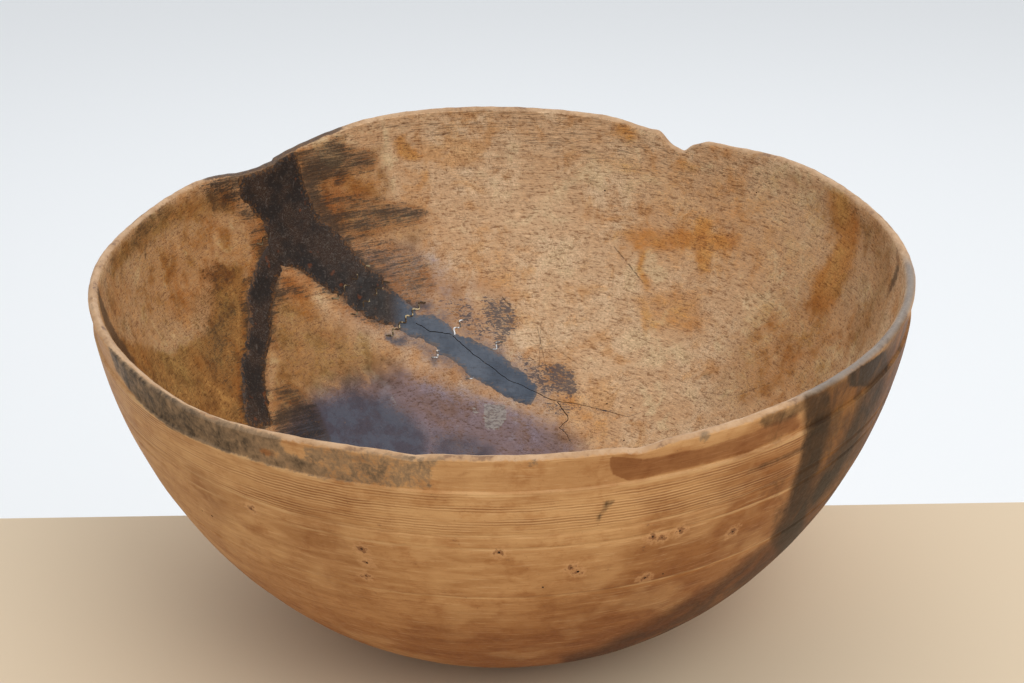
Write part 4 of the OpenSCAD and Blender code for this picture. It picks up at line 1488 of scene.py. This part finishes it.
    def _drills(self) -> bpy.types.Mesh:
        """Short closed cones that cut the worm holes and pin knots."""
        made = bmesh.new()
        for pit in PITS:
            spot = self.view.spot(pit.x, pit.y, pit.side, self.turning)
            out = Vector(self.turning.off_wall(spot[None])[0])
            if pit.side is Side.OUTSIDE:
                out = Vector((*unit(spot[:2]), self.drill_dip)).normalized()
            turn = out.to_track_quat("Z", "Y").to_matrix().to_4x4()
            narrow, wide = (pit.r * MM * share for share in self.drill_flare)
            bmesh.ops.create_cone(
                made, cap_ends=True, segments=self.drill_sides, radius1=narrow, radius2=wide,
                depth=self.drill_depth, matrix=Matrix.Translation(Vector(spot)) @ turn,
            )
        bmesh.ops.triangulate(made, faces=made.faces)
        mesh = bpy.data.meshes.new("drills")
        made.to_mesh(mesh)
        made.free()
        return mesh

    def _paint(self, mesh: bpy.types.Mesh) -> None:
        """Writes the covers that the finish reads."""
        t = self.turning
        places = vertices(mesh)
        r, z, azimuth = np.hypot(places[:, 0], places[:, 1]), places[:, 2], azimuths_of(places)
        rim = t.rim_z(azimuth)
        low = np.minimum(z, rim - t.lip_round)
        outer, inner = t.outer_r(low), np.where(low < t.floor_t, 0, t.inner_r(np.maximum(low, t.floor_t)))
        inside = (z >= t.floor_t - MM) & (outer - r > np.maximum(outer - inner, 0.01 * MM) / 2)
        lip = smooth(1 - (rim - z) / self.lip_reach)
        write_cover(mesh, "lip", lip)
        split = np.abs(away(azimuth, self.lip_split)) * t.mouth_r * math.radians(1)
        write_cover(mesh, "split", smooth(1.4 - split / self.split_half) * smooth((z - rim) / (4 * MM) + 2))
        for name, (middle, reach, soft) in (("rim_pitch", self.rim_pitch), ("ash", self.ash)):
            write_cover(mesh, name, lip * smooth((reach - np.abs(away(azimuth, middle))) / soft))
        for marks in FIELDS:
            there = inside if marks.side is Side.INSIDE else ~inside
            cover = np.zeros(len(places))
            cover[there] = marks.cover(places[there], self.view, t)
            write_cover(mesh, marks.name, cover)


@dataclass
class Strip:
    """A strip of filler along the crack, a thin closed lens with a ragged edge, seated in the wall.

    Its face wears from black to slate between two columns of the photograph, and not at all where
    they lie beyond it.
    """

    name: str
    turning: Turning
    view: View
    repair: Repair
    finish: Filler
    dirt_and_shade: CrackDirtAndShade
    edge: tuple[Pixel, ...]
    seed: int
    reaches_rim: bool = False
    worn: tuple[float, float] = (2000, 3000)
    bared: Track = ()
    joined: Track = ()
    rise: float = 0.0006
    bared_rise: float = 0.00008
    rise_soft: float = 0.0008
    sink: float = 0.0009
    sink_soft: float = 0.002
    grain: float = 0.0016
    apart: float = 0.7
    scatter: float = 0.3
    ragged: float = 0.00045
    fine_ragged: float = 0.7
    ragged_run: int = 3
    even_rim: float = 0.0025
    rim_steps: int = 16
    level_fall: float = 90.0
    mean_r: float = 0.75
    crack_share: float = 0.6
    crease: float = 50.0
    upright: float = 0.6
    joined_by: float = 6.0

    def outline(self) -> np.ndarray:
        """The strip's edge as azimuths and falls, ragged, and run up to the lip if it reaches that far."""
        t = self.turning
        x, y = (np.array(c, float) for c in zip(*self.edge))
        border = self.view.on_wall(x, y, Side.INSIDE, t)
        if self.reaches_rim:
            azimuth = np.linspace(*azimuths_of(border[[-1, 0]]), self.rim_steps)
            z = t.rim_z(azimuth) - t.lip_round
            border = np.vstack([border, ring(t.inner_r(z), azimuth, z)])
        dense = self._dense(border)
        rng, count, run = np.random.RandomState(self.seed), len(dense), self.ragged_run
        rough = rng.normal(size=count) * self.fine_ragged
        rough += np.repeat(rng.normal(size=count // run + 1), run)[:count]
        rough[dense[:, 2] > t.rim_z(azimuths_of(dense)) - self.even_rim] = 0
        out = unit(np.cross(np.roll(dense, -1, 0) - np.roll(dense, 1, 0), t.off_wall(dense)))
        dense = dense + out * (rough * self.ragged)[:, None]
        fall = np.degrees(np.arctan2(np.hypot(dense[:, 0], dense[:, 1]), t.height - dense[:, 2]))
        return np.stack([azimuths_of(dense), fall], 1)[::-1]

    def _dense(self, border: np.ndarray) -> np.ndarray:
        """The border's points spread evenly, a grain apart."""
        closed = np.vstack([border, border[:1]])
        reach = np.r_[0, np.cumsum(np.linalg.norm(np.diff(closed, axis=0), axis=1))]
        at = np.linspace(0, reach[-1], int(reach[-1] / self.grain), endpoint=False)
        return np.stack([np.interp(at, reach, closed[:, c]) for c in range(3)], 1)

    def build(self) -> bpy.types.Object:
        """Makes the strip, scores the crack in its face and dresses it."""
        edge = self.outline()
        spread = np.array([self.turning.mouth_r * self.mean_r, self.turning.mouth_r]) * math.radians(1)
        low, high = edge.min(0), edge.max(0)
        steps = [np.arange(low[c], high[c], self.grain / spread[c]) for c in range(2)]
        grid = np.stack(np.meshgrid(*steps, indexing="ij"), -1).reshape(-1, 2)
        shift = np.random.RandomState(self.seed + 1).uniform(-self.scatter, self.scatter, grid.shape)
        grid += shift * self.grain / spread
        gap = np.min(np.linalg.norm((grid[:, None] - edge[None]) * spread, axis=2), axis=1)
        flat = np.vstack([edge, grid[gap > self.grain * self.apart]]) * spread
        points, _, pieces, *_, within = delaunay_2d_cdt(
            [Vector(p) for p in flat], [], [list(range(len(edge)))], 1, 1e-7, True
        )
        faces = [tuple(piece) for piece, outlines in zip(pieces, within) if outlines]
        chart = np.array([tuple(p) for p in points]) / spread
        base = self.turning.wall(chart[:, 0], np.minimum(chart[:, 1], self.level_fall))
        out = self.turning.off_wall(base)
        inward = self._inward(base, edge)
        inward[self._rimmed(faces)] = 0
        rough = np.random.RandomState(self.seed + 2).uniform(0.8, 1.1, len(base))
        rise = self.rise - (self.rise - self.bared_rise) * self._near(base, self.bared)
        face = base + out * (rise * (1 - np.exp(-inward / self.rise_soft)) * rough)[:, None]
        back = base - out * (self.sink * smooth(inward / self.sink_soft))[:, None]
        piece = self._close(face, back, faces, inward == 0)
        places = vertices(piece.data)
        far = self._inward(places, edge) / MM + self.joined_by * self._near(places, self.joined)
        write_cover(piece.data, "inward", far)
        first, last = self.worn
        write_cover(piece.data, "worn", smooth((self.view.pixel(places)[:, 0] - first) / (last - first)))
        return piece

    def _inward(self, places: np.ndarray, edge: np.ndarray) -> np.ndarray:
        """How far places lie from the strip's edge."""
        border = self.turning.wall(edge[:, 0], np.minimum(edge[:, 1], self.level_fall))
        return np.array([np.linalg.norm(border - p, axis=1).min() for p in places])

    def _near(self, places: np.ndarray, spots: Track) -> np.ndarray:
        """How near places lie to spots, given as pixels and a reach in mm: 0 away from all, 1 at one."""
        near = np.zeros(len(places))
        for x, y, reach in spots:
            spot = self.view.spot(x, y, Side.INSIDE, self.turning)
            near = np.maximum(near, smooth(1.5 - np.linalg.norm(places - spot, axis=1) / (reach * MM)))
        return near

    @staticmethod
    def _rimmed(faces: list[tuple[int, ...]]) -> list[int]:
        """The points on the border of the faces."""
        sides: dict[tuple[int, int], int] = {}
        for face in faces:
            for a, b in zip(face, face[1:] + face[:1]):
                sides[min(a, b), max(a, b)] = sides.get((min(a, b), max(a, b)), 0) + 1
        return sorted({point for side, count in sides.items() if count == 1 for point in side})

    def _close(
        self, face: np.ndarray, back: np.ndarray, faces: list[tuple[int, ...]], rimmed: np.ndarray,
    ) -> bpy.types.Object:
        """Joins the strip's face and back along their border into one closed piece."""
        shift = np.where(rimmed, np.arange(len(face)), np.arange(len(face)) + len(face))
        other = [tuple(int(shift[v]) for v in reversed(f)) for f in faces]
        mesh = bpy.data.meshes.new(self.name)
        mesh.from_pydata(np.vstack([face, back]).tolist(), [], faces + other)
        made = bmesh.new()
        made.from_mesh(mesh)
        bmesh.ops.delete(made, geom=[v for v in made.verts if not v.link_faces], context="VERTS")
        bmesh.ops.recalc_face_normals(made, faces=made.faces)
        made.to_mesh(mesh)
        made.free()
        piece = link(self.name, mesh, [self.finish.build(), self.dirt_and_shade.build()])
        self.repair.cut(piece, [self.repair.cracked(self.crack_share)])
        shade(piece.data, self.crease)
        facing = np.sum(middles(piece.data, "normal") * self.turning.off_wall(middles(piece.data)), 1)
        # The strip's upright sides take the dark finish of old dirt and painted shade
        give_slot(piece.data, np.abs(facing) < self.upright, 1)
        return piece


@dataclass
class Fasteners:
    """The corrugated fasteners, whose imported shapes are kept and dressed."""

    rubbed: tuple[int, ...] = (5, 6)
    count: int = 6
    bright: WornSteel = WornSteel("rubbed_steel", tone(160, 160, 162), tone(104, 96, 88))
    dull: WornSteel = WornSteel("stained_steel", tone(132, 118, 92), tone(78, 62, 46))

    def dress(self, nodes: dict[str, bpy.types.Object]) -> None:
        """Gives each fastener its steel.

        Args:
            nodes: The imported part's objects by name.
        """
        bright, dull = self.bright.build(), self.dull.build()
        for number in range(1, self.count + 1):
            name = f"wiggle_nail_{number}"
            mesh = nodes[name].data
            mesh.materials.clear()
            mesh.materials.append(bright if number in self.rubbed else dull)
            log.info("%s: dressed, %d faces", name, len(mesh.polygons))


@dataclass
class Studio:
    """Plain pale surroundings and soft light: a table top, and the room's white floor below it."""

    table: Colour = tone(214, 195, 168)
    room: Colour = tone(246, 247, 248)
    table_back: float = 0.07
    table_wide: float = 3.0
    room_wide: float = 12.0
    drop: float = 0.7
    rough: float = 0.8
    gloss: float = 0.2
    lamps: tuple[tuple[str, Place, float, float, Colour], ...] = (
        ("key", (0.9, -1.5, 1.9), 1.4, 24, (1.0, 0.96, 0.90)),
        ("sky", (0.1, 0.2, 2.4), 2.4, 15, (0.96, 0.98, 1.0)),
        ("back", (0.2, 2.2, 1.5), 2.4, 12, (0.94, 0.97, 1.0)),
    )
    aim: Place = (0, 0, 0.1)
    air: Colour = (0.94, 0.97, 1.0)
    air_light: float = 0.74

    def build(self) -> None:
        """Lays the two floors and hangs the lights."""
        self._sheet("floor", self.table_wide, self.table_back, 0, self.table)
        self._sheet("backdrop", self.room_wide, self.room_wide, -self.drop, self.room)
        for lamp in self.lamps:
            self._lamp(*lamp)
        world = bpy.data.worlds.new("room")
        world.use_nodes = True
        sky = world.node_tree.nodes["Background"]
        sky.inputs["Color"].default_value = (*self.air, 1)
        sky.inputs["Strength"].default_value = self.air_light
        bpy.context.scene.world = world
        bpy.context.scene.view_settings.view_transform = "Standard"

    def _sheet(self, name: str, wide: float, back: float, level: float, colour: Colour) -> None:
        """One flat matt sheet of the stage, so wide to either side and to the front."""
        mesh = bpy.data.meshes.new(name)
        corners = [(x, y, level) for x, y in ((-wide, -wide), (wide, -wide), (wide, back), (-wide, back))]
        mesh.from_pydata(corners, [], [(0, 1, 2, 3)])
        bench = Bench(name)
        bench.finish(colour, self.rough, None, self.gloss)
        link(name, mesh, [bench.material])

    def _lamp(self, name: str, place: Place, size: float, power: float, colour: Colour) -> None:
        """One square soft light aimed at the bowl."""
        data = bpy.data.lights.new(name, "AREA")
        data.size, data.energy, data.color = size, power, colour
        lamp = bpy.data.objects.new(name, data)
        lamp.location = place
        lamp.visible_camera = False
        lamp.rotation_euler = (Vector(self.aim) - Vector(place)).to_track_quat("-Z", "Y").to_euler()
        bpy.context.scene.collection.objects.link(lamp)


def main() -> None:
    """Builds the camera, the bowl, its repair and the studio."""
    logging.basicConfig(level=logging.INFO, format="%(name)s: %(message)s")
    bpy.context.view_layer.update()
    view, turning = View(), Turning()
    view.build()
    repair = Repair(turning)
    dirt_and_shade = CrackDirtAndShade()
    bowl = Bowl(turning, view, repair, HollowBirch(), TurnedBirch(), dirt_and_shade).build()
    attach(bowl, "root")
    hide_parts("bowl_body")
    log.info("bowl: %d faces", len(bowl.data.polygons))
    strips = {
        "main_crack_filler": Strip(
            "main_strip", turning, view, repair,
            Filler("brushed_pitch", tone(34, 28, 26), tone(88, 98, 113)), dirt_and_shade, MAIN_EDGE, seed=21,
            reaches_rim=True, worn=(366, 430), bared=MAIN_BARED, joined=MAIN_JOINED,
        ),
        "branch_crack_filler": Strip(
            "branch_strip", turning, view, repair,
            Filler("branch_pitch", tone(34, 27, 24), tone(52, 50, 54)), dirt_and_shade, BRANCH_EDGE, seed=31,
            bared=BRANCH_BARED, joined=BRANCH_JOINED,
        ),
    }
    for node, strip in strips.items():
        piece = strip.build()
        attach(piece, "root")
        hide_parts(node)
        log.info("%s: %d faces", piece.name, len(piece.data.polygons))
    Fasteners().dress(frame["nodes"])
    Studio().build()


if __name__ == "__main__":
    main()
